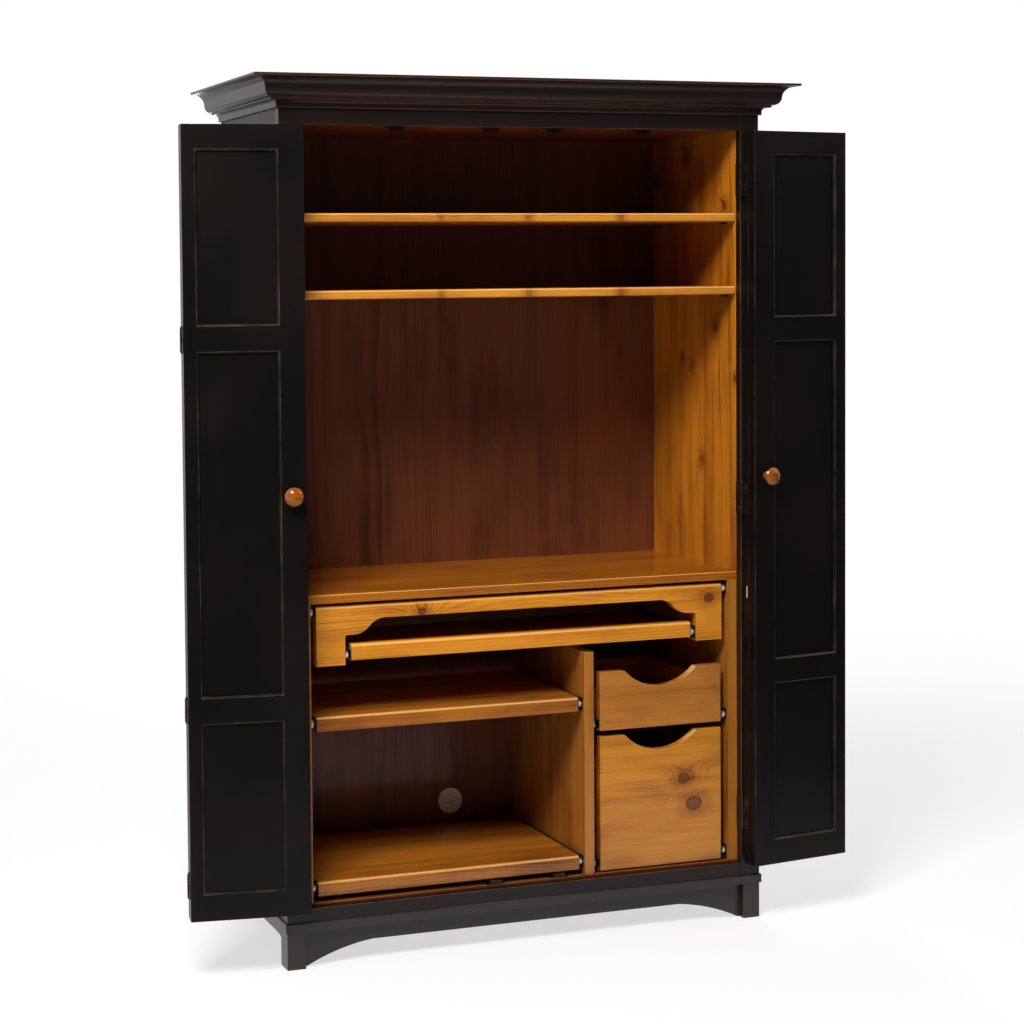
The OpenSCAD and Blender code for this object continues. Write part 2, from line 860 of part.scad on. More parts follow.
// The half of a hinge that turns on the pin
module bored_half(h, r, set, reach) {
    difference() {
        union() {
            hinge_wing(h, r, set, reach, [1]);
            knuckle(h, r, 1);
        }
        translate([0, 0, -h / 6 - cut_over]) cylinder(r = pin_r + pin_air, h = h / 3 + 2 * cut_over);
    }
}

module case_hinge_wings() {
    reach = face_t + pin_out - wing_short;
    color(dark_metal) placed() both_sides() for (z = case_hinge_zs)
        translate([-hinge_x, -pin_out, z]) mirror([1, 0, 0])
            pin_half(case_hinge_h, knuckle_r, wing_set, reach);
}

module left_door_hinge_wings() {
    reach = leaf_t + pin_out - wing_short;
    color(dark_metal) placed() left_swung() for (z = case_hinge_zs)
        translate([-hinge_x, -pin_out, z]) bored_half(case_hinge_h, knuckle_r, wing_set, reach);
}

module right_door_hinge_wings() {
    mirror([1, 0, 0]) left_door_hinge_wings();
}

// Puts a fold hinge half on the fold axis, with its plate towards the leaf's outer face
module at_fold() {
    for (z = fold_hinge_zs) translate([-fold_x, fold_y, z]) mirror([0, 1, 0]) children();
}

module left_fold_wings_outer() {
    color(dark_metal) placed() left_swung() at_fold() mirror([1, 0, 0])
        pin_half(fold_hinge_h, fold_knuckle_r, wing_set, fold_y - fold_wing_short);
}

module left_fold_wings_inner() {
    color(dark_metal) placed() left_folded() at_fold()
        bored_half(fold_hinge_h, fold_knuckle_r, wing_set, fold_y - fold_wing_short);
}

module right_fold_wings_outer() {
    mirror([1, 0, 0]) left_fold_wings_outer();
}

module right_fold_wings_inner() {
    mirror([1, 0, 0]) left_fold_wings_inner();
}

// Half section of a turned knob: base ring, neck and domed head
module knob_section() {
    head_z = knob_len - knob_head_t;
    difference() {
        union() {
            square([knob_foot_r, knob_foot_t]);
            square([knob_neck_r, knob_len - knob_head_t / 2]);
            intersection() {
                translate([0, knob_len - dome_r]) circle(dome_r, $fn = 96);
                translate([0, head_z]) square([knob_d / 2, knob_head_t + cut_over]);
            }
        }
        translate([-2 * knob_d, -cut_over]) square([2 * knob_d, 3 * knob_d]);
        translate([knob_d / 2 + cut_over, head_z - knob_hollow_r / 3]) circle(knob_hollow_r);
    }
}

module left_knob() {
    color(knob_wood) placed() left_folded() as_lead_leaf() translate([leaf_w - knob_in, 0, knob_z])
        rotate([90, 0, 0]) rotate_extrude($fn = 96) knob_section();
}

module right_knob() {
    mirror([1, 0, 0]) left_knob();
}

// Runners. One side is drawn with its wall at x 0, the sliding part at x gap and the roller at z 0.

// Channel on the wall, with the roller's axle and its head, and the stop that ends the travel
module wall_channel(gap, length, overlap) {
    flange_w = gap - flange_short;
    stop_y = runner_y + overlap - rail_short - shoe_len - part_air;
    block([0, runner_y, -channel_h / 2], [steel_t, runner_y + length, channel_h / 2]);
    block([0, runner_y, -channel_h / 2], [flange_w, runner_y + length, steel_t - channel_h / 2]);
    block([0, runner_y + mouth, channel_h / 2 - steel_t], [flange_w, runner_y + length, channel_h / 2]);
    block([0, stop_y - stop_len, -channel_h / 2], [flange_w, stop_y, steel_t + stop_h - channel_h / 2]);
    translate([steel_t / 2, roller_y, 0]) rotate([0, 90, 0])
        cylinder(r = axle_r, h = roller_x + roller_w - steel_t / 2 + part_air);
    translate([roller_x + roller_w + part_air, roller_y, 0]) rotate([0, 90, 0])
        cylinder(r = axle_head_r, h = axle_head_t);
}

// Rail on the sliding part, which runs on the roller, with a shoe at its back end
module sliding_rail(gap, length) {
    rail_z = roller_r + part_air;
    back = runner_y + length - rail_short;
    block([gap - steel_t, runner_y, -rail_web], [gap, back, rail_z + steel_t]);
    block([roller_x, runner_y, rail_z], [gap, back, rail_z + steel_t]);
    block([roller_x, back - shoe_len, steel_t + part_air - channel_h / 2], [gap, back, rail_z + steel_t]);
}

module wheel() {
    translate([roller_x, roller_y, 0]) rotate([0, 90, 0]) difference() {
        cylinder(r = roller_r, h = roller_w);
        translate([0, 0, -cut_over]) cylinder(r = axle_r + pin_air, h = roller_w + 2 * cut_over);
    }
}

// Places one runner at each side of a bay from x0 to x1, with the roller at height z
module runner_pair(x0, x1, z) {
    translate([x0, 0, z]) children();
    translate([x1, 0, z]) mirror([1, 0, 0]) children();
}

module shelf_pair(z) {
    runner_pair(-carrier_x, partition_x, z) children();
}

module drawer_pair(z) {
    runner_pair(right_bay_low, carrier_x, z) children();
}

module case_runners() {
    color(steel) placed() {
        shelf_pair(middle_runner_z) wall_channel(shelf_gap, runner_len, shelf_overlap);
        shelf_pair(bottom_runner_z) wall_channel(shelf_gap, runner_len, shelf_overlap);
        drawer_pair(small_runner_z) wall_channel(drawer_gap, runner_len, drawer_overlap);
        drawer_pair(file_runner_z) wall_channel(drawer_gap, runner_len, drawer_overlap);
        runner_pair(-carrier_x, carrier_x, work_runner_z)
            wall_channel(work_gap, runner_len, work_overlap);
    }
}

module middle_shelf_rollers() {
    color(nylon) placed() shelf_pair(middle_runner_z) wheel();
}

module bottom_shelf_rollers() {
    color(nylon) placed() shelf_pair(bottom_runner_z) wheel();
}

module small_drawer_rollers() {
    color(nylon) placed() drawer_pair(small_runner_z) wheel();
}

module file_drawer_rollers() {
    color(nylon) placed() drawer_pair(file_runner_z) wheel();
}

module work_surface_rollers() {
    color(nylon) placed() runner_pair(-carrier_x, carrier_x, work_runner_z) wheel();
}

module tray_rollers() {
    color(nylon) placed() runner_pair(-leg_x, leg_x, tray_runner_z) wheel();
}

module middle_shelf_runners() {
    color(steel) placed() shelf_pair(middle_runner_z) sliding_rail(shelf_gap, runner_len);
}

module bottom_shelf_runners() {
    color(steel) placed() shelf_pair(bottom_runner_z) sliding_rail(shelf_gap, runner_len);
}

module small_drawer_runners() {
    color(steel) placed() drawer_pair(small_runner_z) sliding_rail(drawer_gap, runner_len);
}

module file_drawer_runners() {
    color(steel) placed() drawer_pair(file_runner_z) sliding_rail(drawer_gap, runner_len);
}

module tray_runners() {
    color(steel) placed() runner_pair(-leg_x, leg_x, tray_runner_z) sliding_rail(work_gap, tray_runner_len);
}

// Work surface

module work_surface_board() {
    color(pine) placed()
        block([-work_x, front_y + front_t, work_z - board_t], [work_x, slide_back, work_z]);
}

// Half of the opening in the front, with its curved shoulder
module half_keyhole() {
    run = shoulder_x - shoulder_top_x;
    drop = keyhole_top_z - shoulder_z;
    shoulder_r = (run * run + drop * drop) / (4 * drop);
    low = work_foot_z - cut_over;
    translate([0, low]) square([shoulder_top_x, keyhole_top_z - low]);
    difference() {
        translate([0, low]) square([leg_x, shoulder_z - low]);
        translate([leg_x, shoulder_z]) mirror([1, 0]) corner_waste(leg_corner_r);
    }
    intersection() {
        translate([shoulder_top_x, keyhole_top_z - shoulder_r]) circle(shoulder_r, $fn = 96);
        translate([shoulder_top_x, shoulder_z]) square([run / 2, drop]);
    }
    difference() {
        translate([shoulder_top_x + run / 2, shoulder_z]) square([run / 2, drop / 2]);
        translate([shoulder_x, shoulder_z + shoulder_r]) circle(shoulder_r, $fn = 96);
    }
}

module work_surface_front() {
    color(pine) placed() translate([0, front_y, 0]) intersection() {
        translate([0, 0, work_foot_z]) run_x(-work_x, work_x)
            board_section(front_t, work_z - work_foot_z, work_edge_r, under_r);
        translate([0, front_t, 0]) rotate([90, 0, 0]) linear_extrude(front_t) difference() {
            translate([-work_x, work_foot_z]) square([2 * work_x, work_z - work_foot_z]);
            half_keyhole();
            mirror([1, 0]) half_keyhole();
        }
    }
}

module work_surface_cheeks() {
    edge_rail_h = 22;
    back = slide_back - 10;
    top = work_z - board_t;
    y0 = front_y + front_t;
    color(pine) placed() both_sides() {
        block([leg_x, y0, work_foot_z], [leg_x + cheek_t, back, top]);
        block([work_x - cheek_t, y0, top - edge_rail_h], [work_x, back, top]);
    }
}

module work_surface_runners() {
    color(steel) placed() {
        runner_pair(-carrier_x, carrier_x, work_runner_z) sliding_rail(work_gap, runner_len);
        runner_pair(-leg_x, leg_x, tray_runner_z)
            wall_channel(work_gap, tray_runner_len, tray_overlap);
    }
}

module tray_board() {
    color(pine) placed() translate([0, front_y, tray_z]) {
        run_x(-tray_x, tray_x) board_section(tray_d, board_t, under_r, lip_under_r);
        run_x(-tray_x, tray_x) board_section(front_t, tray_lip_h, lip_edge_r, lip_under_r);
    }
}

// Pull-out shelves

module shelf_with_lip(z) {
    translate([0, front_y, z]) {
        translate([0, 0, lip_h - board_t]) run_x(shelf_x0, shelf_x1)
            board_section(slide_back - front_y, board_t, lip_edge_r, under_r);
        run_x(shelf_x0, shelf_x1) board_section(front_t, lip_h, lip_edge_r, lip_under_r);
    }
}

module middle_shelf_board() {
    color(pine) placed() shelf_with_lip(middle_shelf_z);
}

module bottom_shelf_board() {
    color(pine) placed() shelf_with_lip(bottom_shelf_z);
}

// Drawers

// Round finger cut-out, drawn with the middle of the top edge at the origin
module finger_cut() {
    cut_r = (cut_w * cut_w / 4 + cut_d * cut_d) / (2 * cut_d);
    rise = cut_r - cut_d;
    run = sqrt((cut_r + cut_corner_r) ^ 2 - (rise + cut_corner_r) ^ 2);
    meet = cut_r / (cut_r + cut_corner_r);
    meet_z = rise - meet * (rise + cut_corner_r);
    translate([0, rise]) circle(cut_r, $fn = 128);
    for (side = [0, 1]) mirror([side, 0]) difference() {
        translate([run * meet, meet_z]) square([run * (1 - meet), cut_over - meet_z]);
        translate([run, -cut_corner_r]) circle(cut_corner_r);
    }
}

// A drawer front from height z, with its finger cut-out
module drawer_front(z, height) {
    translate([0, front_y + front_t, 0]) rotate([90, 0, 0]) linear_extrude(front_t) difference() {
        translate([drawer_x0, z]) square([drawer_x1 - drawer_x0, height]);
        translate([(drawer_x0 + drawer_x1) / 2, z + height]) finger_cut();
    }
}

// An open box behind a drawer front, from height z
module drawer_box(z, side_h) {
    y0 = front_y + front_t;
    y1 = slide_back;
    difference() {
        block([drawer_x0, y0, z], [drawer_x1, y1, z + side_h]);
        block([drawer_x0 + box_t, y0 - cut_over, z + bottom_up + box_bottom_t],
              [drawer_x1 - box_t, y1 - box_t, z + side_h + cut_over]);
        block([drawer_x0 + box_t, y0 - cut_over, z - cut_over], [drawer_x1 - box_t, y1 - box_t, z + bottom_up]);
    }
}

module small_drawer_front() {
    color(pine) placed() drawer_front(small_z, small_front_h);
}

module small_drawer_box() {
    color(pine) placed() drawer_box(small_z + box_up, small_side_h);
}

module file_drawer_front() {
    color(pine) placed() drawer_front(file_z, file_front_h);
}

module file_drawer_box() {
    color(pine) placed() drawer_box(file_z + box_up, file_side_h);
}

side_panels();
side_linings();
back_panel();
ceiling_board();
floor_board();
face_stiles();
face_rails();
crown_moulding();
crown_cover();
base_trim();
aprons();
feet();
desktop();
adjustable_shelves();
shelf_pins();
partition();
runner_boards();
door_catches();
case_hinge_wings();
case_runners();
outlet_sleeve();
outlet_cap();
left_hinge_leaf_frame();
left_hinge_leaf_panels();
left_door_hinge_wings();
left_fold_wings_outer();
left_fold_wings_inner();
left_lead_leaf_frame();
left_lead_leaf_panels();
left_knob();
right_hinge_leaf_frame();
right_hinge_leaf_panels();
right_door_hinge_wings();
right_fold_wings_outer();
right_fold_wings_inner();
right_lead_leaf_frame();
right_lead_leaf_panels();
right_knob();
work_surface_board();
work_surface_front();
work_surface_cheeks();
work_surface_runners();
tray_board();
tray_runners();
middle_shelf_board();
middle_shelf_runners();
bottom_shelf_board();
bottom_shelf_runners();
small_drawer_front();
small_drawer_box();
small_drawer_runners();
file_drawer_front();
file_drawer_box();
file_drawer_runners();
work_surface_rollers();
tray_rollers();
middle_shelf_rollers();
bottom_shelf_rollers();
small_drawer_rollers();
file_drawer_rollers();
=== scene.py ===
"""Finishes and small fittings of the computer desk in a cupboard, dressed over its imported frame."""
import json
import logging
import math
from dataclasses import dataclass
from enum import Enum

import bmesh
import bpy
from mathutils import Matrix, Vector

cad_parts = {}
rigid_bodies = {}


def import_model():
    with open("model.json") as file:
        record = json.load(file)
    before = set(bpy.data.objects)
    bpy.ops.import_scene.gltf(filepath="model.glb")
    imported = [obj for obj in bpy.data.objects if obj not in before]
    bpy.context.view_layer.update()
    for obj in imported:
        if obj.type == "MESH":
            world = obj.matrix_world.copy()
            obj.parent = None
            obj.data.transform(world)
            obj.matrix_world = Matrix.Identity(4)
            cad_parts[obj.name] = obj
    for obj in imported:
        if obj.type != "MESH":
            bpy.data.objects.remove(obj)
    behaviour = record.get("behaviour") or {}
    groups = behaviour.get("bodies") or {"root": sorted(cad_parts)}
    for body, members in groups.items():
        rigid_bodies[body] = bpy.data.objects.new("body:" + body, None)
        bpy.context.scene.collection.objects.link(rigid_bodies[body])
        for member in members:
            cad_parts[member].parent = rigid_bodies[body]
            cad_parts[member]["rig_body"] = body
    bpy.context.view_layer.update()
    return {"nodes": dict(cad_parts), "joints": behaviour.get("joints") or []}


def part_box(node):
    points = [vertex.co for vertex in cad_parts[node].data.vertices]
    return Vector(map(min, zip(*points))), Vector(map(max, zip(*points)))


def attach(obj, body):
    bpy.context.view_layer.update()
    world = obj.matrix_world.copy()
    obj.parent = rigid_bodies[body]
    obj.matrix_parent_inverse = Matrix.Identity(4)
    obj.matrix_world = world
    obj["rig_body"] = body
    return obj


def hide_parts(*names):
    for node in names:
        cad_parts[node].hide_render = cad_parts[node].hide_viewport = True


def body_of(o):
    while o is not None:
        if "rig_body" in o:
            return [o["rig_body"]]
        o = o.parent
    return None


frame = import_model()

log = logging.getLogger("computer_desk")

Point = tuple[float, float, float]
Colour = tuple[float, float, float]
Socket = bpy.types.NodeSocket
Sockets = bpy.types.bpy_prop_collection
Value = Socket | float | tuple[float, ...]
Shape = bmesh.types.BMesh
Corners = list[bmesh.types.BMVert]

MM = 0.001

# The face frame: its front, and its opening's lowest and highest edge, in metres
FACE_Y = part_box("face_stiles")[0].y
OPENING_LOW = 0.122
OPENING_TOP = 1.7

# How a node's mesh is cleaned, and how sandpaper has eased its edges
WELD_GAP = 2e-6
FLAT_ANGLE = math.radians(0.3)
SHARP_ANGLE = math.radians(35)
EASED_ANGLE = math.radians(40)
EASED_WIDTH = 0.7 * MM
EASED_STEPS = 2

# The curve that turns a written colour into light
SRGB_KNEE = 0.04045
SRGB_SLOPE = 12.92
SRGB_LIFT = 0.055
SRGB_POWER = 2.4


class Grain(Enum):
    """The way that a board's grain runs, as the axes along, across and through the board."""

    X_FLAT = "XYZ"
    X_UPRIGHT = "XZY"
    Y_UPRIGHT = "YZX"
    Z_FACING_SIDE = "ZYX"
    Z_FACING_FRONT = "ZXY"

    def order(self) -> list[int]:
        """Gives the numbers of the axes along, across and through the board."""
        return ["XYZ".index(axis) for axis in self.value]


class Side(Enum):
    """The side of the cupboard that a door hangs on."""

    LEFT = "left"
    RIGHT = "right"

    def out(self) -> int:
        """Gives the way from the middle to this side: -1 to the left, 1 to the right."""
        return -1 if self is Side.LEFT else 1


def srgb(red: int, green: int, blue: int) -> Colour:
    """Turns a colour written as 0 to 255 into linear values.

    Args:
        red: Red from 0 to 255.
        green: Green from 0 to 255.
        blue: Blue from 0 to 255.

    Returns:
        The linear red, green and blue.
    """
    linear = []
    for share in (red / 255, green / 255, blue / 255):
        curved = ((share + SRGB_LIFT) / (1 + SRGB_LIFT)) ** SRGB_POWER
        linear.append(curved if share > SRGB_KNEE else share / SRGB_SLOPE)
    return tuple(linear)


class Wiring:
    """Places and links shader nodes in one node tree."""

    def __init__(self, tree: bpy.types.NodeTree) -> None:
        """Keeps the tree that the nodes go into."""
        self.tree = tree

    def add(
        self, kind: str, inputs: dict[str | int, Value] | None = None, **settings: str | bool
    ) -> bpy.types.Node:
        """Adds a node, sets its properties and sets or links its inputs.

        Args:
            kind: The node's type, without the words ShaderNode.
            inputs: Values or sockets for the inputs, by name or by place.
            **settings: Properties of the node.

        Returns:
            The new node.
        """
        node = self.tree.nodes.new("ShaderNode" + kind)
        for name, value in settings.items():
            setattr(node, name, value)
        for name, value in (inputs or {}).items():
            self.feed(node.inputs[name], value)
        return node

    def feed(self, socket: Socket, value: Value) -> None:
        """Links a socket to an input, or sets the input's plain value.

        Args:
            socket: The input.
            value: A socket, a number, a vector or a colour.
        """
        if isinstance(value, Socket):
            self.tree.links.new(value, socket)
        elif socket.type == "RGBA" and len(value) == 3:
            socket.default_value = (*value, 1)
        else:
            socket.default_value = value

    def math(self, operation: str, *values: Value, clamp: bool = False) -> Socket:
        """Works out one sum on numbers, kept between 0 and 1 if clamp says so."""
        return self.add("Math", dict(enumerate(values)), operation=operation, use_clamp=clamp).outputs[0]

    def plus(self, first: Value, second: Value, clamp: bool = False) -> Socket:
        """Adds two numbers."""
        return self.math("ADD", first, second, clamp=clamp)

    def less(self, first: Value, second: Value) -> Socket:
        """Takes the second number from the first."""
        return self.math("SUBTRACT", first, second)

    def times(self, first: Value, second: Value) -> Socket:
        """Multiplies two numbers."""
        return self.math("MULTIPLY", first, second)

    def over(self, first: Value, second: Value) -> Socket:
        """Divides the first number by the second."""
        return self.math("DIVIDE", first, second)

    def most(self, first: Value, second: Value) -> Socket:
        """Gives the larger of two numbers."""
        return self.math("MAXIMUM", first, second)

    def more(self, start: Value, added: Value, share: Value, clamp: bool = False) -> Socket:
        """Adds a share of one number to another."""
        return self.plus(start, self.times(added, share), clamp)

    def bell(self, value: Socket, steepness: float) -> Socket:
        """Gives 1 where a number is 0, and falls away smoothly on both sides."""
        return self.math("EXPONENT", self.times(self.times(value, value), -steepness))

    def vector(self, operation: str, *values: Value) -> Socket:
        """Works out one sum on vectors."""
        return self.add("VectorMath", dict(enumerate(values)), operation=operation).outputs["Vector"]

    def stretch(self, place: Socket, factors: Point) -> Socket:
        """Scales a place along each axis."""
        return self.vector("MULTIPLY", place, factors)

    def length(self, place: Socket) -> Socket:
        """Measures a vector."""
        return self.add("VectorMath", {0: place}, operation="LENGTH").outputs["Value"]

    def axes(self, place: Socket) -> Sockets:
        """Splits a vector into its X, Y and Z."""
        return self.add("SeparateXYZ", {0: place}).outputs

    def chance(self, number: Socket) -> Sockets:
        """Gives each whole number its own chance Value and Color."""
        return self.add("TexWhiteNoise", {"W": number}, noise_dimensions="1D").outputs

    def mix(self, share: Value, first: Value, second: Value) -> Socket:
        """Mixes two colours, with a share of the second."""
        return self.add("Mix", {0: share, 6: first, 7: second}, data_type="RGBA").outputs[2]

    def ramp(self, value: Socket, low: float, high: float, start: float = 0.0, end: float = 1.0) -> Socket:
        """Turns a stretch of values into a smooth step.

        Args:
            value: The value's socket.
            low: Where the step starts.
            high: Where it ends.
            start: What it gives before the step.
            end: What it gives after it.

        Returns:
            The step's socket.
        """
        inputs = {"Value": value, "From Min": low, "From Max": high, "To Min": start, "To Max": end}
        return self.add("MapRange", inputs, interpolation_type="SMOOTHSTEP").outputs[0]

    def noise(self, place: Socket, scale: float, detail: float = 2.0, rough: float = 0.5) -> Socket:
        """Samples cloudy noise.

        Args:
            place: The place's socket.
            scale: Clouds per metre.
            detail: Octaves of finer noise.
            rough: How strong the finer noise is.

        Returns:
            The noise's socket, from 0 to 1.
        """
        inputs = {"Vector": place, "Scale": scale, "Detail": detail, "Roughness": rough}
        return self.add("TexNoise", inputs).outputs[0]

    def drawn_out(self, place: Socket, scales: Point, detail: float = 2.0, rough: float = 0.5) -> Socket:
        """Samples noise that is drawn out, with its own number of clouds per metre along each axis."""
        return self.noise(self.stretch(place, scales), 1.0, detail, rough)


class EffectGroup:
    """A shader node group that several materials share. Each effect wires it in its own way."""

    INPUT_KINDS = {3: "Vector", 4: "Color"}
    LOOKS = {"Color": "Color", "Height": "Float", "Roughness": "Float"}

    def __init__(self, name: str, inputs: dict[str, float | tuple], outputs: dict[str, str]) -> None:
        """Makes the group with its named sockets.

        Args:
            name: The group's name.
            inputs: The inputs' default values by name: a number, a vector of three or a colour of four.
            outputs: The outputs' kinds by name: Float, Color or Vector.
        """
        self.tree = bpy.data.node_groups.new(name, "ShaderNodeTree")
        for label, value in inputs.items():
            kind = self.INPUT_KINDS[len(value)] if isinstance(value, tuple) else "Float"
            socket = self.tree.interface.new_socket(label, in_out="INPUT", socket_type="NodeSocket" + kind)
            socket.default_value = value
        for label, kind in outputs.items():
            self.tree.interface.new_socket(label, in_out="OUTPUT", socket_type="NodeSocket" + kind)
        self.wiring = Wiring(self.tree)
        self.given = self.tree.nodes.new("NodeGroupInput").outputs
        self.result = self.tree.nodes.new("NodeGroupOutput").inputs

    def give(self, **sockets: Socket) -> None:
        """Links the group's outputs, by their names."""
        for label, socket in sockets.items():
            self.tree.links.new(socket, self.result[label])

    def place_in(self, wiring: Wiring, inputs: dict[str, Value]) -> Sockets:
        """Places the group in a material.

        Args:
            wiring: The material's wiring.
            inputs: Values or sockets for its inputs, by name.

        Returns:
            The placed group's outputs.
        """
        node = wiring.add("Group")
        node.node_tree = self.tree
        for label, value in inputs.items():
            wiring.feed(node.inputs[label], value)
        return node.outputs


class KnotEffect(EffectGroup):
    """One knot at a chosen place on a board.

    Push bends the rings round the knot, Core and Halo darken it, Core as far as Tone says. Distances
    are in radii of the knot. Several knots are chained by feeding one's outputs to the next.
    """

    def __init__(self) -> None:
        """Wires the group."""
        super().__init__(
            "knot_in_board",
            {
                "Place": (0, 0, 0), "Centre": (0, 0, 0), "Radius": 0.01, "Tone": 1.0,
                "Push": 0.0, "Core": 0.0, "Halo": 0.0,
            },
            {"Push": "Float", "Core": "Float", "Halo": "Float"},
        )
        w, given = self.wiring, self.given
        offset = w.vector("SUBTRACT", given["Place"], given["Centre"])
        ragged = w.drawn_out(offset, (160, 160, 0))
        oval = w.stretch(offset, (0.86, 1.04, 0))
        distance = w.over(w.length(oval), given["Radius"])
        distance = w.more(distance, w.less(ragged, 0.5), share=0.5)
        rim = w.times(w.ramp(distance, 1.12, 0.95), w.ramp(distance, 0.5, 0.9, start=0.8))
        pith = w.ramp(distance, 0.34, 0.1)
        core = w.times(w.most(rim, pith), given["Tone"])
        self.give(
            Push=w.more(given["Push"], w.bell(distance, steepness=0.085), share=3.6),
            Core=w.most(given["Core"], core),
            Halo=w.most(given["Halo"], w.ramp(distance, 3.4, 1.0)),
        )


@dataclass(frozen=True)
class PineGrowth:
    """How the pine has grown and is sawn.

    Attributes:
        pith_depth: How far the log's middle is behind the board's face, in metres.
        wander: How far the rings wander across the board, in metres.
        waviness: How far they are wavy, in rings.
        year_least: Darkness of the palest year's late wood.
        year_range: How much darker the darkest year's is.
        shift: How far each board's wood is from its neighbour's, in metres.
        seed_step: How far along the log another seed is, in metres.
    """

    pith_depth: float = 0.045
    wander: float = 0.11
    waviness: float = 0.8
    year_least: float = 0.45
    year_range: float = 0.7
    shift: Point = (3.0, 0.5, 0.06)
    seed_step: Point = (1.9, 0.0, 0.0)


@dataclass(frozen=True)
class PineTones:
    """How far each mark of the pine takes its colour, from 0 to 1, and the colour of the highlight painted
    on rounded upper edges.
    """

    late_wood: float = 0.3
    late_wood_by_knots: float = 0.5
    lines: float = 0.14
    streaks: float = 0.24
    blotches: float = 0.4
    boards: float = 0.34
    fibres: float = 0.16
    flecks: float = 0.14
    end_grain: float = 0.35
    halo: float = 0.38
    knot: float = 0.88
    joint: float = 0.6
    # Painted highlight: rounded upper edges are mixed this far towards this pale colour, standing in for the
    # light they catch
    painted_highlight_share: float = 0.5
    painted_highlight_colour: Colour = srgb(246, 190, 118)


@dataclass(frozen=True)
class Boards:
    """The boards that a pine surface is glued up from.

    Attributes:
        place: The place in each board's own wood.
        tone: Each board's chance tone.
        joint: The seam between two boards.
    """

    place: Socket
    tone: Socket
    joint: Socket


@dataclass(frozen=True)
class KnotMarks:
    """What knots do to a surface: push the rings aside, and darken their core and a halo round it."""

    push: Socket
    core: Socket
    halo: Socket


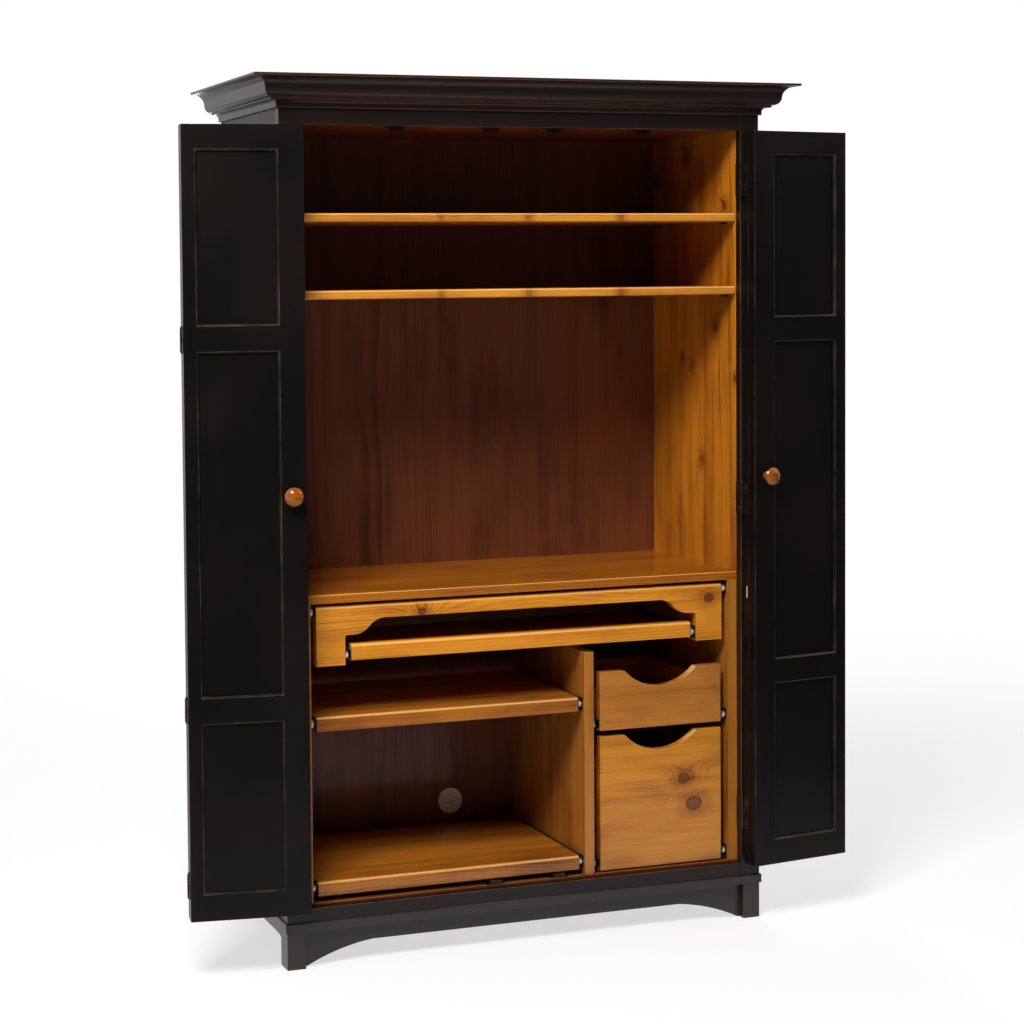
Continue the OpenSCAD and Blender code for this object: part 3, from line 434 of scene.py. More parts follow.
class PineEffect(EffectGroup):
    """Stained pine boards: rings, fibres, small knots, board joints, blotches and end grain.

    Place is in metres with X along the board, Y across it and Z through it. End is 1 where the surface
    cuts across the grain, and the edge input is 1 where a rounded edge looks up, where a pale highlight is
    painted in.
    """

    def __init__(self) -> None:
        """Wires the group."""
        super().__init__(
            "stained_pine",
            {
                "Place": (0, 0, 0), "Seed": 0.0, "Board Width": 0.12, "Ring Gap": 0.007, "Small Knots": 0.2,
                "Light": (0.6, 0.3, 0.08, 1), "Dark": (0.25, 0.08, 0.02, 1), "Knot": (0.05, 0.02, 0.01, 1),
                "Push": 0.0, "Core": 0.0, "Halo": 0.0, "End": 0.0, "Painted Highlight": 0.0,
            },
            self.LOOKS,
        )
        self.growth = PineGrowth()
        self.tones = PineTones()
        w = self.wiring
        boards = self.boards()
        knots = self.small_knots(boards.place)
        streak = w.drawn_out(boards.place, (2.2, 38.0, 38.0), detail=3.0)
        fibre = w.drawn_out(boards.place, (8.0, 640.0, 640.0))
        late = self.late_wood(boards.place, knots.push, streak)
        depth = self.depth(boards, knots.halo, late, streak, fibre)
        rough = w.plus(w.times(fibre, 0.1), w.times(depth, 0.08))
        rough = w.more(rough, self.given["End"], share=0.3)
        self.give(
            Color=self.colour(depth, boards.joint, knots),
            Height=self.height(late, fibre, boards.joint, knots.core),
            Roughness=w.plus(rough, 0.26),
        )

    def boards(self) -> Boards:
        """Splits the surface into boards, each cut from another stretch of wood.

        Returns:
            The boards.
        """
        w, given = self.wiring, self.given
        seed = w.add("CombineXYZ", {0: given["Seed"], 1: w.times(given["Seed"], 0.61)}).outputs[0]
        across = w.plus(w.axes(given["Place"])[1], w.axes(seed)[1])
        board = w.over(across, given["Board Width"])
        number = w.math("FLOOR", board)
        part = w.less(board, number)
        to_joint = w.times(w.math("MINIMUM", part, w.less(1.0, part)), given["Board Width"])
        chance = w.chance(w.plus(number, given["Seed"]))
        place = w.vector("ADD", given["Place"], w.stretch(seed, self.growth.seed_step))
        place = w.vector("ADD", place, w.stretch(chance["Color"], self.growth.shift))
        return Boards(place, tone=chance["Value"], joint=w.ramp(to_joint, 0.9 * MM, 0.2 * MM))

    def small_knots(self, place: Socket) -> KnotMarks:
        """Adds small knots by chance to the knots that the group is given.

        Args:
            place: The place in the wood.

        Returns:
            The marks of all knots.
        """
        w, given = self.wiring, self.given
        spread = w.stretch(place, (3.1, 7.5, 0))
        cells = w.add("TexVoronoi", {"Vector": spread, "Scale": 1.0, "Randomness": 0.9}).outputs
        cell = w.add("SeparateColor", {0: cells["Color"]}).outputs
        there = w.math("LESS_THAN", cell[0], given["Small Knots"])
        distance = w.over(cells["Distance"], w.plus(w.times(cell[1], 0.035), 0.015))
        push = w.times(w.times(w.bell(distance, steepness=0.11), there), 2.0)
        return KnotMarks(
            push=w.plus(push, given["Push"]),
            core=w.most(w.times(w.ramp(distance, 1.0, 0.5), there), given["Core"]),
            halo=w.most(w.times(w.ramp(distance, 2.4, 0.8), there), given["Halo"]),
        )

    def late_wood(self, place: Socket, push: Socket, streak: Socket) -> Socket:
        """Draws the dark late wood of the year rings, cut as the board cuts them.

        Args:
            place: The place in the wood.
            push: How far knots push the rings aside.
            streak: Long streaks, which make the rings fainter and stronger.

        Returns:
            How much late wood there is.
        """
        w, growth = self.wiring, self.growth
        bent = w.drawn_out(place, (1.4, 6.0, 6.0), detail=3.0, rough=0.45)
        wavy = w.drawn_out(place, (6.0, 20.0, 20.0))
        axes = w.axes(place)
        side = w.more(axes[1], w.less(bent, 0.5), share=growth.wander)
        deep = w.plus(axes[2], growth.pith_depth)
        ring = w.math("SQRT", w.plus(w.times(side, side), w.times(deep, deep)))
        phase = w.plus(w.over(ring, self.given["Ring Gap"]), push)
        phase = w.more(phase, wavy, share=growth.waviness)
        turn = w.math("FRACT", phase)
        late = w.times(w.ramp(turn, 0.2, 0.86), w.ramp(turn, 1.0, 0.9))
        year = w.chance(w.math("FLOOR", phase))["Value"]
        late = w.times(late, w.plus(w.times(year, growth.year_range), growth.year_least))
        return w.times(late, w.ramp(streak, 0.3, 0.62, start=0.45, end=1.15))

    def depth(self, boards: Boards, halo: Socket, late: Socket, streak: Socket, fibre: Socket) -> Socket:
        """Adds up what makes the wood darker.

        Args:
            boards: The boards.
            halo: The halo round knots.
            late: The late wood.
            streak: Long streaks.
            fibre: Fine fibres.

        Returns:
            How far the colour goes from light to dark.
        """
        w, tones = self.wiring, self.tones
        line = w.drawn_out(boards.place, (1.6, 260.0, 260.0), rough=0.6)
        blotch = w.drawn_out(boards.place, (3.0, 9.0, 9.0), detail=4.0, rough=0.6)
        fleck = w.drawn_out(boards.place, (26.0, 520.0, 520.0))
        depth = w.times(late, w.plus(w.times(halo, tones.late_wood_by_knots), tones.late_wood))
        depth = w.more(depth, w.ramp(line, 0.4, 0.72), tones.lines)
        depth = w.more(depth, w.ramp(streak, 0.4, 0.75), tones.streaks)
        depth = w.more(depth, w.ramp(blotch, 0.42, 0.7), tones.blotches)
        depth = w.more(depth, w.less(boards.tone, 0.45), tones.boards)
        depth = w.more(depth, w.less(fibre, 0.5), tones.fibres)
        depth = w.more(depth, w.ramp(fleck, 0.6, 0.74), tones.flecks)
        return w.more(depth, self.given["End"], tones.end_grain, clamp=True)

    def colour(self, depth: Socket, joint: Socket, knots: KnotMarks) -> Socket:
        """Colours the wood.

        Args:
            depth: How far the colour goes from light to dark.
            joint: The seam between two boards.
            knots: The marks of all knots.

        Returns:
            The colour.
        """
        w, given, tones = self.wiring, self.given, self.tones
        colour = w.mix(depth, given["Light"], given["Dark"])
        colour = w.mix(w.times(knots.halo, tones.halo), colour, given["Dark"])
        colour = w.mix(w.times(knots.core, tones.knot), colour, given["Knot"])
        colour = w.mix(w.times(joint, tones.joint), colour, given["Knot"])
        # painted highlight on rounded edges that look up
        return w.mix(w.times(given["Painted Highlight"], tones.painted_highlight_share), colour, tones.painted_highlight_colour)

    def height(self, late: Socket, fibre: Socket, joint: Socket, core: Socket) -> Socket:
        """Gives the wood its relief.

        Args:
            late: The late wood, which stands proud.
            fibre: Fine fibres.
            joint: The seam between two boards.
            core: The core of knots, which is sunk.

        Returns:
            The height.
        """
        w = self.wiring
        height = w.less(w.times(late, 0.3), w.times(joint, 1.4))
        return w.less(w.more(height, fibre, share=0.3), w.times(core, 0.5))


@dataclass(frozen=True)
class PaintWear:
    """How the paint has worn, from 0 to 1.

    Attributes:
        chipped: How bare a chip is.
        shown: How far bare wood shows its own colour.
        stained: How far the darkest bare wood goes towards the paint's colour.
        warmed: How far the warmest patches of paint go towards the warm colour's mixture.
        warm: The warm colour, mixed half and half with the paint's own.
    """

    chipped: float = 0.6
    shown: float = 0.62
    stained: float = 0.6
    warmed: float = 0.6
    warm: Colour = (0.013, 0.0068, 0.0052)


class PaintEffect(EffectGroup):
    """Brushed paint that is rubbed through to the wood on edges and in small chips."""

    def __init__(self) -> None:
        """Wires the group."""
        super().__init__(
            "rubbed_paint",
            {
                "Place": (0, 0, 0), "Rub": 0.0, "Chips": 0.1,
                "Paint": (0.01, 0.008, 0.007, 1), "Wood": (0.3, 0.16, 0.07, 1),
            },
            self.LOOKS,
        )
        self.wear = PaintWear()
        w, place = self.wiring, self.given["Place"]
        bare = self.bare()
        cloud = w.noise(place, scale=4.0, detail=3.0)
        brush = w.drawn_out(place, (420.0, 420.0, 9.0))
        rough = w.plus(w.times(cloud, 0.08), w.times(brush, 0.07))
        self.give(
            Color=self.colour(bare, cloud),
            Height=w.less(w.times(brush, 0.4), w.times(bare, 0.6)),
            Roughness=w.more(rough, bare, share=0.25),
        )

    def bare(self) -> Socket:
        """Wears the paint off in rubbed patches and in chips.

        Returns:
            How bare the wood is.
        """
        w, given = self.wiring, self.given
        patches = w.noise(given["Place"], scale=11.0, detail=5.0, rough=0.66)
        rubbed = w.ramp(w.plus(patches, given["Rub"]), 0.78, 1.12)
        spots = w.add("TexVoronoi", {"Vector": given["Place"], "Scale": 30.0}).outputs
        chance = w.add("SeparateColor", {0: spots["Color"]}).outputs[0]
        chosen = w.math("LESS_THAN", chance, given["Chips"])
        ragged = w.more(spots["Distance"], w.noise(given["Place"], scale=420.0), share=0.08)
        chip = w.times(w.ramp(ragged, 0.075, 0.058), chosen)
        return w.most(rubbed, w.times(chip, self.wear.chipped))

    def colour(self, bare: Socket, cloud: Socket) -> Socket:
        """Colours the paint and the bare wood.

        Args:
            bare: How bare the wood is.
            cloud: Wide clouds, which make the paint warmer.

        Returns:
            The colour.
        """
        w, given, wear = self.wiring, self.given, self.wear
        warm = w.mix(0.5, given["Paint"], wear.warm)
        paint = w.mix(w.ramp(cloud, 0.3, 0.7, end=wear.warmed), given["Paint"], warm)
        darker = w.mix(wear.stained, given["Wood"], given["Paint"])
        wood = w.mix(w.drawn_out(given["Place"], (90.0, 90.0, 14.0)), given["Wood"], darker)
        return w.mix(w.times(bare, wear.shown), paint, wood)


class MetalEffect(EffectGroup):
    """Metal whose coating has darkened unevenly."""

    def __init__(self) -> None:
        """Wires the group."""
        super().__init__(
            "darkened_metal",
            {"Place": (0, 0, 0), "Coat": (0.03, 0.02, 0.018, 1), "Bare": (0.3, 0.22, 0.17, 1), "Worn": 0.2},
            self.LOOKS,
        )
        w, given = self.wiring, self.given
        cloud = w.noise(given["Place"], scale=60.0, detail=4.0, rough=0.6)
        grit = w.noise(given["Place"], scale=900.0)
        bare = w.times(w.ramp(cloud, 0.42, 0.72), given["Worn"])
        bare = w.more(bare, w.less(grit, 0.5), share=0.12, clamp=True)
        rough = w.plus(w.times(grit, 0.16), w.times(cloud, 0.2))
        self.give(
            Color=w.mix(bare, given["Coat"], given["Bare"]),
            Height=grit,
            Roughness=w.plus(rough, 0.14),
        )


class Effects:
    """The shader node groups that the finishes share, each built once."""

    def __init__(self) -> None:
        """Builds the groups."""
        self.knot = KnotEffect()
        self.pine = PineEffect()
        self.paint = PaintEffect()
        self.metal = MetalEffect()


class Surface:
    """One material with its wiring and its shader."""

    def __init__(self, name: str) -> None:
        """Makes the material.

        Args:
            name: The material's name.
        """
        self.material = bpy.data.materials.new(name)
        self.material.use_nodes = True
        self.wiring = Wiring(self.material.node_tree)
        self.shader = self.material.node_tree.nodes["Principled BSDF"]

    def place(self) -> Socket:
        """Gives the place on the piece, in metres."""
        return self.wiring.add("TexCoord").outputs["Object"]

    def facing(self) -> Sockets:
        """Gives the X, Y and Z of the way that the surface faces."""
        return self.wiring.axes(self.wiring.add("TexCoord").outputs["Normal"])

    def set(self, **values: Value) -> None:
        """Sets or links the shader's inputs, with underscores for the spaces in their names."""
        for name, value in values.items():
            self.wiring.feed(self.shader.inputs[name.replace("_", " ")], value)

    def bump(self, height: Socket, depth: float) -> None:
        """Gives the surface fine relief of a depth in metres."""
        node = self.wiring.add("Bump", {"Height": height, "Distance": depth, "Strength": 1.0})
        self.set(Normal=node.outputs[0])


@dataclass(frozen=True)
class Finish:
    """A finish, as the material of its name. Each kind of finish dresses the surface in its own way."""

    name: str

    def material(self, effects: Effects) -> bpy.types.Material:
        """Makes the material.

        Args:
            effects: The shared node groups.

        Returns:
            The material.
        """
        surface = Surface(self.name)
        self.dress(surface, effects)
        return surface.material

    def dress(self, surface: Surface, effects: Effects) -> None:
        """Gives the surface its looks."""
        raise NotImplementedError


@dataclass(frozen=True)
class Knot:
    """A knot on a board: its place along and across it and its radius, in metres, and how dark it is."""

    along: float
    across: float
    radius: float
    tone: float = 1.0


@dataclass(frozen=True)
class PineFinish(Finish):
    """Stained and lacquered pine.

    Attributes:
        grain: The way that the grain runs.
        light: Colour of the light wood.
        dark: Colour of the dark wood.
        knot: Colour of knots and of the seams between boards.
        board: Width of one board in metres.
        ring: Distance between rings in metres.
        seed: Chooses another stretch of wood.
        small_knots: Share of places that have a small knot.
        knots: Knots at chosen places.
        lacquer: Strength of the clear coat.
        relief: Depth of the relief in metres.
    """

    grain: Grain
    light: Colour = srgb(198, 122, 28)
    dark: Colour = srgb(108, 50, 9)
    knot: Colour = srgb(82, 34, 16)
    board: float = 0.11
    ring: float = 0.006
    seed: float = 1.0
    small_knots: float = 0.14
    knots: tuple[Knot, ...] = ()
    lacquer: float = 0.5
    relief: float = 0.00014

    def dress(self, surface: Surface, effects: Effects) -> None:
        """Gives the surface its looks.

        Args:
            surface: The surface.
            effects: The shared node groups.
        """
        w = surface.wiring
        order = self.grain.order()
        axes = w.axes(surface.place())
        place = w.add("CombineXYZ", {i: axes[axis] for i, axis in enumerate(order)}).outputs[0]
        facing = surface.facing()
        # where a rounded edge looks up, which gets the painted highlight
        painted_highlight_edges = w.times(w.ramp(facing[2], 0.3, 0.6), w.ramp(facing[2], 0.95, 0.75))
        pine = effects.pine.place_in(w, {
            "Place": place, "Seed": self.seed, "Board Width": self.board, "Ring Gap": self.ring,
            "Small Knots": self.small_knots, "Light": self.light, "Dark": self.dark, "Knot": self.knot,
            "End": w.ramp(w.math("ABSOLUTE", facing[order[0]]), 0.75, 0.97), "Painted Highlight": painted_highlight_edges,
            **self.knot_marks(w, place, effects.knot),
        })
        surface.set(Base_Color=pine["Color"], Roughness=pine["Roughness"], Coat_Weight=self.lacquer)
        surface.set(Coat_Roughness=0.1, Specular_IOR_Level=0.15)
        surface.bump(pine["Height"], self.relief)

    def knot_marks(self, wiring: Wiring, place: Socket, effect: KnotEffect) -> dict[str, Socket]:
        """Chains the knots at chosen places.

        Args:
            wiring: The material's wiring.
            place: The place on the board.
            effect: The effect of one knot.

        Returns:
            The marks of all knots, by the names of the pine's inputs.
        """
        marks: dict[str, Socket] = {}
        for knot in self.knots:
            centre = (knot.along, knot.across, 0.0)
            inputs = {"Place": place, "Centre": centre, "Radius": knot.radius, "Tone": knot.tone, **marks}
            marks = dict(effect.place_in(wiring, inputs).items())
        return marks


@dataclass(frozen=True)
class PaintFinish(Finish):
    """Satin black-brown paint.

    Attributes:
        rub: How far the paint is rubbed through, 0 on broad faces and about 0.5 on edges.
        chips: Share of places that have a small chip.
        shine: Strength of its reflections.
        seams: Whether the paint stays whole where the face frame's stiles and rails join.
        paint: Colour of the paint.
        wood: Colour of the wood under it.
        relief: Depth of the relief in metres.
    """

    rub: float = 0.0
    chips: float = 0.02
    shine: float = 0.25
    seams: bool = False
    paint: Colour = srgb(23, 16, 15)
    wood: Colour = srgb(122, 88, 66)
    relief: float = 0.00006

    def dress(self, surface: Surface, effects: Effects) -> None:
        """Gives the surface its looks.

        Args:
            surface: The surface.
            effects: The shared node groups.
        """
        w = surface.wiring
        paint = effects.paint.place_in(w, {
            "Place": surface.place(), "Rub": self.off_seams(surface) if self.seams else self.rub,
            "Chips": self.chips, "Paint": self.paint, "Wood": self.wood,
        })
        surface.set(Base_Color=paint["Color"], Roughness=w.plus(paint["Roughness"], 0.27))
        surface.set(Specular_IOR_Level=self.shine)
        surface.bump(paint["Height"], self.relief)

    def off_seams(self, surface: Surface) -> Socket:
        """Gives the rub everywhere but along the seams of the face frame.

        Args:
            surface: The material's surface.

        Returns:
            The rub's socket.
        """
        w = surface.wiring
        axes = w.axes(surface.place())
        seam_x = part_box("face_rails")[1].x
        middle, half = (OPENING_LOW + OPENING_TOP) / 2, (OPENING_TOP - OPENING_LOW) / 2
        off = w.math("ABSOLUTE", w.less(w.math("ABSOLUTE", axes[0]), seam_x))
        beside = w.ramp(off, 5 * MM, 3 * MM)
        height = w.math("ABSOLUTE", w.less(axes[2], middle))
        seam = w.times(beside, w.ramp(height, half - 2 * MM, half + 1 * MM))
        return w.less(self.rub, seam)


@dataclass(frozen=True)
class MetalFinish(Finish):
    """Coated metal.

    Attributes:
        coat: Colour of the coating.
        bare: Colour where the coating has worn.
        worn: How far it has worn.
        metallic: How metallic it looks.
        relief: Depth of the relief in metres.
    """

    coat: Colour
    bare: Colour
    worn: float = 0.3
    metallic: float = 0.85
    relief: float = 0.00003

    def dress(self, surface: Surface, effects: Effects) -> None:
        """Gives the surface its looks.

        Args:
            surface: The surface.
            effects: The shared node groups.
        """
        metal = effects.metal.place_in(surface.wiring, {
            "Place": surface.place(), "Coat": self.coat, "Bare": self.bare, "Worn": self.worn,
        })
        surface.set(Base_Color=metal["Color"], Roughness=metal["Roughness"], Metallic=self.metallic)
        surface.bump(metal["Height"], self.relief)


@dataclass(frozen=True)
class PlasticFinish(Finish):
    """Moulded plastic with a fine grained surface.

    Attributes:
        colour: Colour of the plastic.
        rough: Roughness of its surface.
        rough_range: How far the roughness changes.
        dust: How far dust has greyed it.
        dust_colour: Colour of the dust.
        grained: Size of its grain in metres.
        relief: Depth of the relief in metres.
    """

    colour: Colour
    rough: float = 0.4
    rough_range: float = 0.18
    dust: float = 0.35
    dust_colour: Colour = srgb(120, 104, 88)
    grained: float = 0.0012
    relief: float = 0.00005

    def dress(self, surface: Surface, effects: Effects) -> None:
        """Gives the surface its looks.

        Args:
            surface: The surface.
            effects: The shared node groups, which plastic doesn't need.
        """
        w, place = surface.wiring, surface.place()
        grit = w.noise(place, scale=1 / self.grained, detail=3.0)
        cloud = w.noise(place, scale=22.0, detail=3.0)
        dusty = w.mix(self.dust, self.colour, self.dust_colour)
        surface.set(Base_Color=w.mix(w.ramp(cloud, 0.35, 0.75), self.colour, dusty))
        surface.set(Roughness=w.plus(w.times(grit, self.rough_range), self.rough - self.rough_range / 2))
        surface.bump(grit, self.relief)


@dataclass(frozen=True)
class TurnedWoodFinish(Finish):
    """Lacquered turned wood, with lines left by the lathe.

    Attributes:
        light: Colour of the light wood.
        dark: Colour of the dark wood.
        lacquer: Strength of the clear coat.
        relief: Depth of the relief in metres.
    """

    light: Colour = srgb(160, 82, 8)
    dark: Colour = srgb(96, 42, 5)
    lacquer: float = 0.8
    relief: float = 0.00006

    def dress(self, surface: Surface, effects: Effects) -> None:
        """Gives the surface its looks.

        Args:
            surface: The surface.
            effects: The shared node groups, which the knobs don't need.
        """
        w, place = surface.wiring, surface.place()
        bands = w.drawn_out(place, (60.0, 420.0, 420.0), detail=3.0)
        cloud = w.noise(place, scale=55.0, detail=3.0)
        depth = w.plus(w.times(bands, 0.7), w.times(cloud, 0.4), clamp=True)
        surface.set(Base_Color=w.mix(w.ramp(depth, 0.3, 0.8), self.light, self.dark))
        surface.set(Roughness=w.plus(w.times(bands, 0.12), 0.22), Coat_Weight=self.lacquer)
        surface.set(Coat_Roughness=0.07, Specular_IOR_Level=0.05)
        surface.bump(bands, self.relief)


# Black paint: first on faces, then on the edges beside them
PAINT = PaintFinish("black_paint_face")
PAINT_SIDE = PaintFinish("black_paint_side", shine=0.1)
# A darker copy of the same black paint, for the door leaves and the crown cover: painted shade
PAINT_LEAF = PaintFinish("black_paint_leaf", chips=0.035, shine=0.14, paint=srgb(10, 9, 8))
# A lighter, redder copy of the black paint for the crown moulding: the redder tone is the paint's own, the
# lightness is a painted sheen
PAINT_CROWN = PaintFinish("black_paint_crown", shine=0.36, paint=srgb(38, 24, 23))
# A lighter copy of the black paint for the base, trim, feet and aprons: a painted reflection of the bright
# floor in front
PAINT_BASE = PaintFinish("black_paint_base", chips=0.03, shine=0.42, paint=srgb(38, 31, 28))
PAINT_EDGE = PaintFinish("black_paint_edge", rub=0.45, chips=0.03)
PAINT_FRAME_EDGE = PaintFinish(
    "black_paint_frame_edge", rub=0.52, chips=0.03, seams=True, wood=srgb(156, 102, 62),
)
PAINT_LEAF_EDGE = PaintFinish(
    "black_paint_leaf_edge", rub=0.41, chips=0.03, shine=0.2, wood=srgb(126, 94, 78),
)
PAINT_CROWN_EDGE = PaintFinish("black_paint_crown_edge", rub=0.6, chips=0.05, wood=srgb(156, 98, 56))

# Stained pine inside the case
PINE_LINING = PineFinish(
    "pine_lining", Grain.Z_FACING_SIDE, board=0.122, seed=2.2105,
    knots=(
        Knot(1.608, 0.214, 0.008), Knot(1.544, -0.102, 0.009), Knot(1.279, -0.061, 0.011, 0.8),
        Knot(1.662, 0.076, 0.012, 0.5), Knot(1.207, 0.095, 0.006, 0.9), Knot(1.191, 0.049, 0.006, 0.6),
        Knot(1.170, -0.150, 0.007), Knot(0.985, 0.004, 0.008, 0.7),
    ),
)
# A darker copy of the pine for the back panel: painted shade, as the back lies deep in the case
PINE_BACK = PineFinish(
    "pine_back", Grain.Z_FACING_FRONT, light=srgb(108, 58, 32), dark=srgb(60, 31, 20),
    board=0.3, seed=4.1, lacquer=0.16,
)
# A darker copy of the pine for the desktop: painted shade
PINE_LEVEL = PineFinish(
    "pine_level", Grain.X_FLAT, light=srgb(172, 100, 18), dark=srgb(98, 46, 8), board=0.13, seed=5.6,
)
# A darker copy of the pine for the ceiling and floor boards: painted shade
PINE_SHADED = PineFinish(
    "pine_shaded", Grain.X_FLAT, light=srgb(116, 58, 22), dark=srgb(72, 32, 12), board=0.13, seed=4.7,
)
PINE_SHELF = PineFinish(
    "pine_shelf", Grain.X_FLAT, light=srgb(206, 136, 46), dark=srgb(130, 68, 18), board=0.2, seed=7.9,
    knots=(Knot(0.012, -0.15, 0.006, 0.45), Knot(0.222, -0.15, 0.006, 0.5), Knot(-0.183, -0.15, 0.004, 0.3)),
)
# A darker copy of the pine for the partition and runner boards: painted shade
PINE_UPRIGHT = PineFinish(
    "pine_upright", Grain.Z_FACING_SIDE, light=srgb(164, 102, 34), dark=srgb(92, 46, 12),
    board=0.14, seed=9.2,
)

# Stained pine of the pull-outs
PINE_PULL_OUT = PineFinish(
    "pine_pull_out", Grain.X_FLAT, light=srgb(176, 106, 28), dark=srgb(96, 46, 10), board=0.15, seed=3.3,
)
PINE_TRAY = PineFinish(
    "pine_tray", Grain.X_FLAT, light=srgb(206, 130, 32), dark=srgb(124, 62, 12), board=0.15, seed=5.1,
)
PINE_WORK_FRONT = PineFinish(
    "pine_work_front", Grain.X_UPRIGHT, light=srgb(214, 138, 34), dark=srgb(132, 68, 12),
    board=0.2, seed=6.4, knots=(Knot(-0.23, 0.709, 0.008), Knot(0.428, 0.698, 0.01)),
)
# A darker copy of the pine for the small drawer's front: painted shadow of the tray above it
PINE_SMALL_FRONT = PineFinish(
    "pine_small_front", Grain.X_UPRIGHT, light=srgb(176, 110, 40), dark=srgb(106, 60, 20),
    board=0.25, seed=8.0,
)
PINE_FILE_FRONT = PineFinish(
    "pine_file_front", Grain.X_UPRIGHT, light=srgb(198, 126, 34), dark=srgb(114, 56, 14),
    board=0.4, seed=3.15, small_knots=0.0, knots=(Knot(0.367, 0.312, 0.012), Knot(0.391, 0.256, 0.016)),
)
PINE_SIDES = PineFinish("pine_drawer_sides", Grain.Y_UPRIGHT, board=0.12, seed=1.4)

# Metal, plastic and the knobs
AGED = MetalFinish("aged_hinge_metal", srgb(52, 44, 40), srgb(104, 90, 80))
STEEL = MetalFinish("runner_steel_black", srgb(34, 33, 34), srgb(92, 90, 90), worn=0.25, metallic=0.6)
BRIGHT = MetalFinish("zinc_fixings", srgb(120, 116, 110), srgb(176, 172, 166), worn=0.5, metallic=0.95)
HEADS = MetalFinish("screw_heads", srgb(84, 70, 60), srgb(168, 146, 124), worn=0.6, metallic=0.9)
NYLON = PlasticFinish("roller_nylon", srgb(222, 220, 212), rough=0.35)
GLIDE = PlasticFinish("edge_glide_pale", srgb(176, 166, 146))
LIPS = PlasticFinish("outlet_lips_rubber", srgb(16, 14, 13), rough=0.7, dust=0.04)
OUTLET = PlasticFinish("outlet_grey_plastic", srgb(212, 198, 178), rough=0.42, dust=0.3)
KNOB = TurnedWoodFinish("knob_turned_wood")


def in_case(x: float, y: float, z: float) -> Vector:
    """Turns a place in the case into a place in the frame.

    Args:
        x: Millimetres to the right of the middle.
        y: Millimetres behind the front of the face frame.
        z: Millimetres above the floor.

    Returns:
        The place in metres.
    """
    return Vector((x * MM, FACE_Y + y * MM, z * MM))


def seat(place: Vector, facing: Point, spin: float = 0.0) -> Matrix:
    """Makes the transform that sets a fitting drawn on the XY plane onto a surface.

    Args:
        place: The middle of its seat, in metres.
        facing: The way that the surface faces.
        spin: How far the fitting is turned on its seat, in degrees.

    Returns:
        The transform.
    """
    turned = Vector(facing).to_track_quat("Z", "Y").to_matrix().to_4x4()
    return Matrix.Translation(place) @ turned @ Matrix.Rotation(math.radians(spin), 4, "Z")


def band(shape: Shape, low: Corners, high: Corners) -> None:
    """Closes the band between two rings of corners.

    Args:
        shape: The shape.
        low: The first ring.
        high: The second ring.
    """
    for i in range(len(low)):
        after = (i + 1) % len(low)
        shape.faces.new((low[i], low[after], high[after], high[i]))


@dataclass(frozen=True)
class Screw:
    """A screw head with a cross recess and the start of its shank, in millimetres.

    Attributes:
        radius: The head's radius.
        rise: How far the head stands over its seat.
        dome: The rings of its rounded face, as shares of the radius and of the rise.
        shank: The shank's radius.
        sunk: How far the shank goes into the seat.
        arm: How far the cross reaches from the middle.
        arm_half: Half the width of its arms.
        deep: Its depth.
        outline: Corners in the cross's outline. The head's rings have two for each.
    """

    radius: float = 2.8
    rise: float = 0.22
    dome: tuple[tuple[float, float], ...] = ((1.0, 0.0), (0.98, 0.4), (0.86, 0.85), (0.62, 1.0))
    shank: float = 1.55
    sunk: float = 1.0
    arm: float = 1.45
    arm_half: float = 0.32
    deep: float = 0.7
    outline: int = 12

    def ring(self, shape: Shape, radius: float, height: float) -> Corners:
        """Adds a ring to a shape.

        Args:
            shape: The shape.
            radius: The ring's radius.
            height: Its height over the seat.

        Returns:
            The ring's corners.
        """
        step = math.pi / self.outline
        turns = [step * (i - 1) for i in range(2 * self.outline)]
        return [shape.verts.new((radius * math.cos(t), radius * math.sin(t), height)) for t in turns]

    def cross(self, shape: Shape, height: float) -> Corners:
        """Adds the outline of the cross recess to a shape.

        Args:
            shape: The shape.
            height: The outline's height over the seat.

        Returns:
            The outline's corners.
        """
        arm = ((self.arm, -self.arm_half), (self.arm, self.arm_half), (self.arm_half, self.arm_half))
        turns = [Matrix.Rotation(math.radians(90 * quarter), 3, "Z") for quarter in range(4)]
        return [shape.verts.new(turn @ Vector((x, y, height))) for turn in turns for x, y in arm]

    def shape(self) -> Shape:
        """Builds the head, closed all round.

        Returns:
            The shape, in millimetres, seated at height 0.
        """
        shape = bmesh.new()
        rings = [self.ring(shape, self.shank, -self.sunk), self.ring(shape, self.shank, 0.0)]
        rings += [self.ring(shape, self.radius * out, self.rise * up) for out, up in self.dome]
        for low, high in zip(rings, rings[1:]):
            band(shape, low, high)
        top = rings[-1]
        rim = self.cross(shape, self.rise)
        bottom = self.cross(shape, self.rise - self.deep)
        for i in range(self.outline):
            after = (i + 1) % self.outline
            shape.faces.new((top[2 * i], top[2 * i + 1], rim[i]))
            shape.faces.new((top[2 * i + 1], top[2 * after], rim[after], rim[i]))
        band(shape, rim, bottom)
        shape.faces.new(bottom)
        shape.faces.new(rings[0])
        bmesh.ops.recalc_face_normals(shape, faces=shape.faces)
        return shape


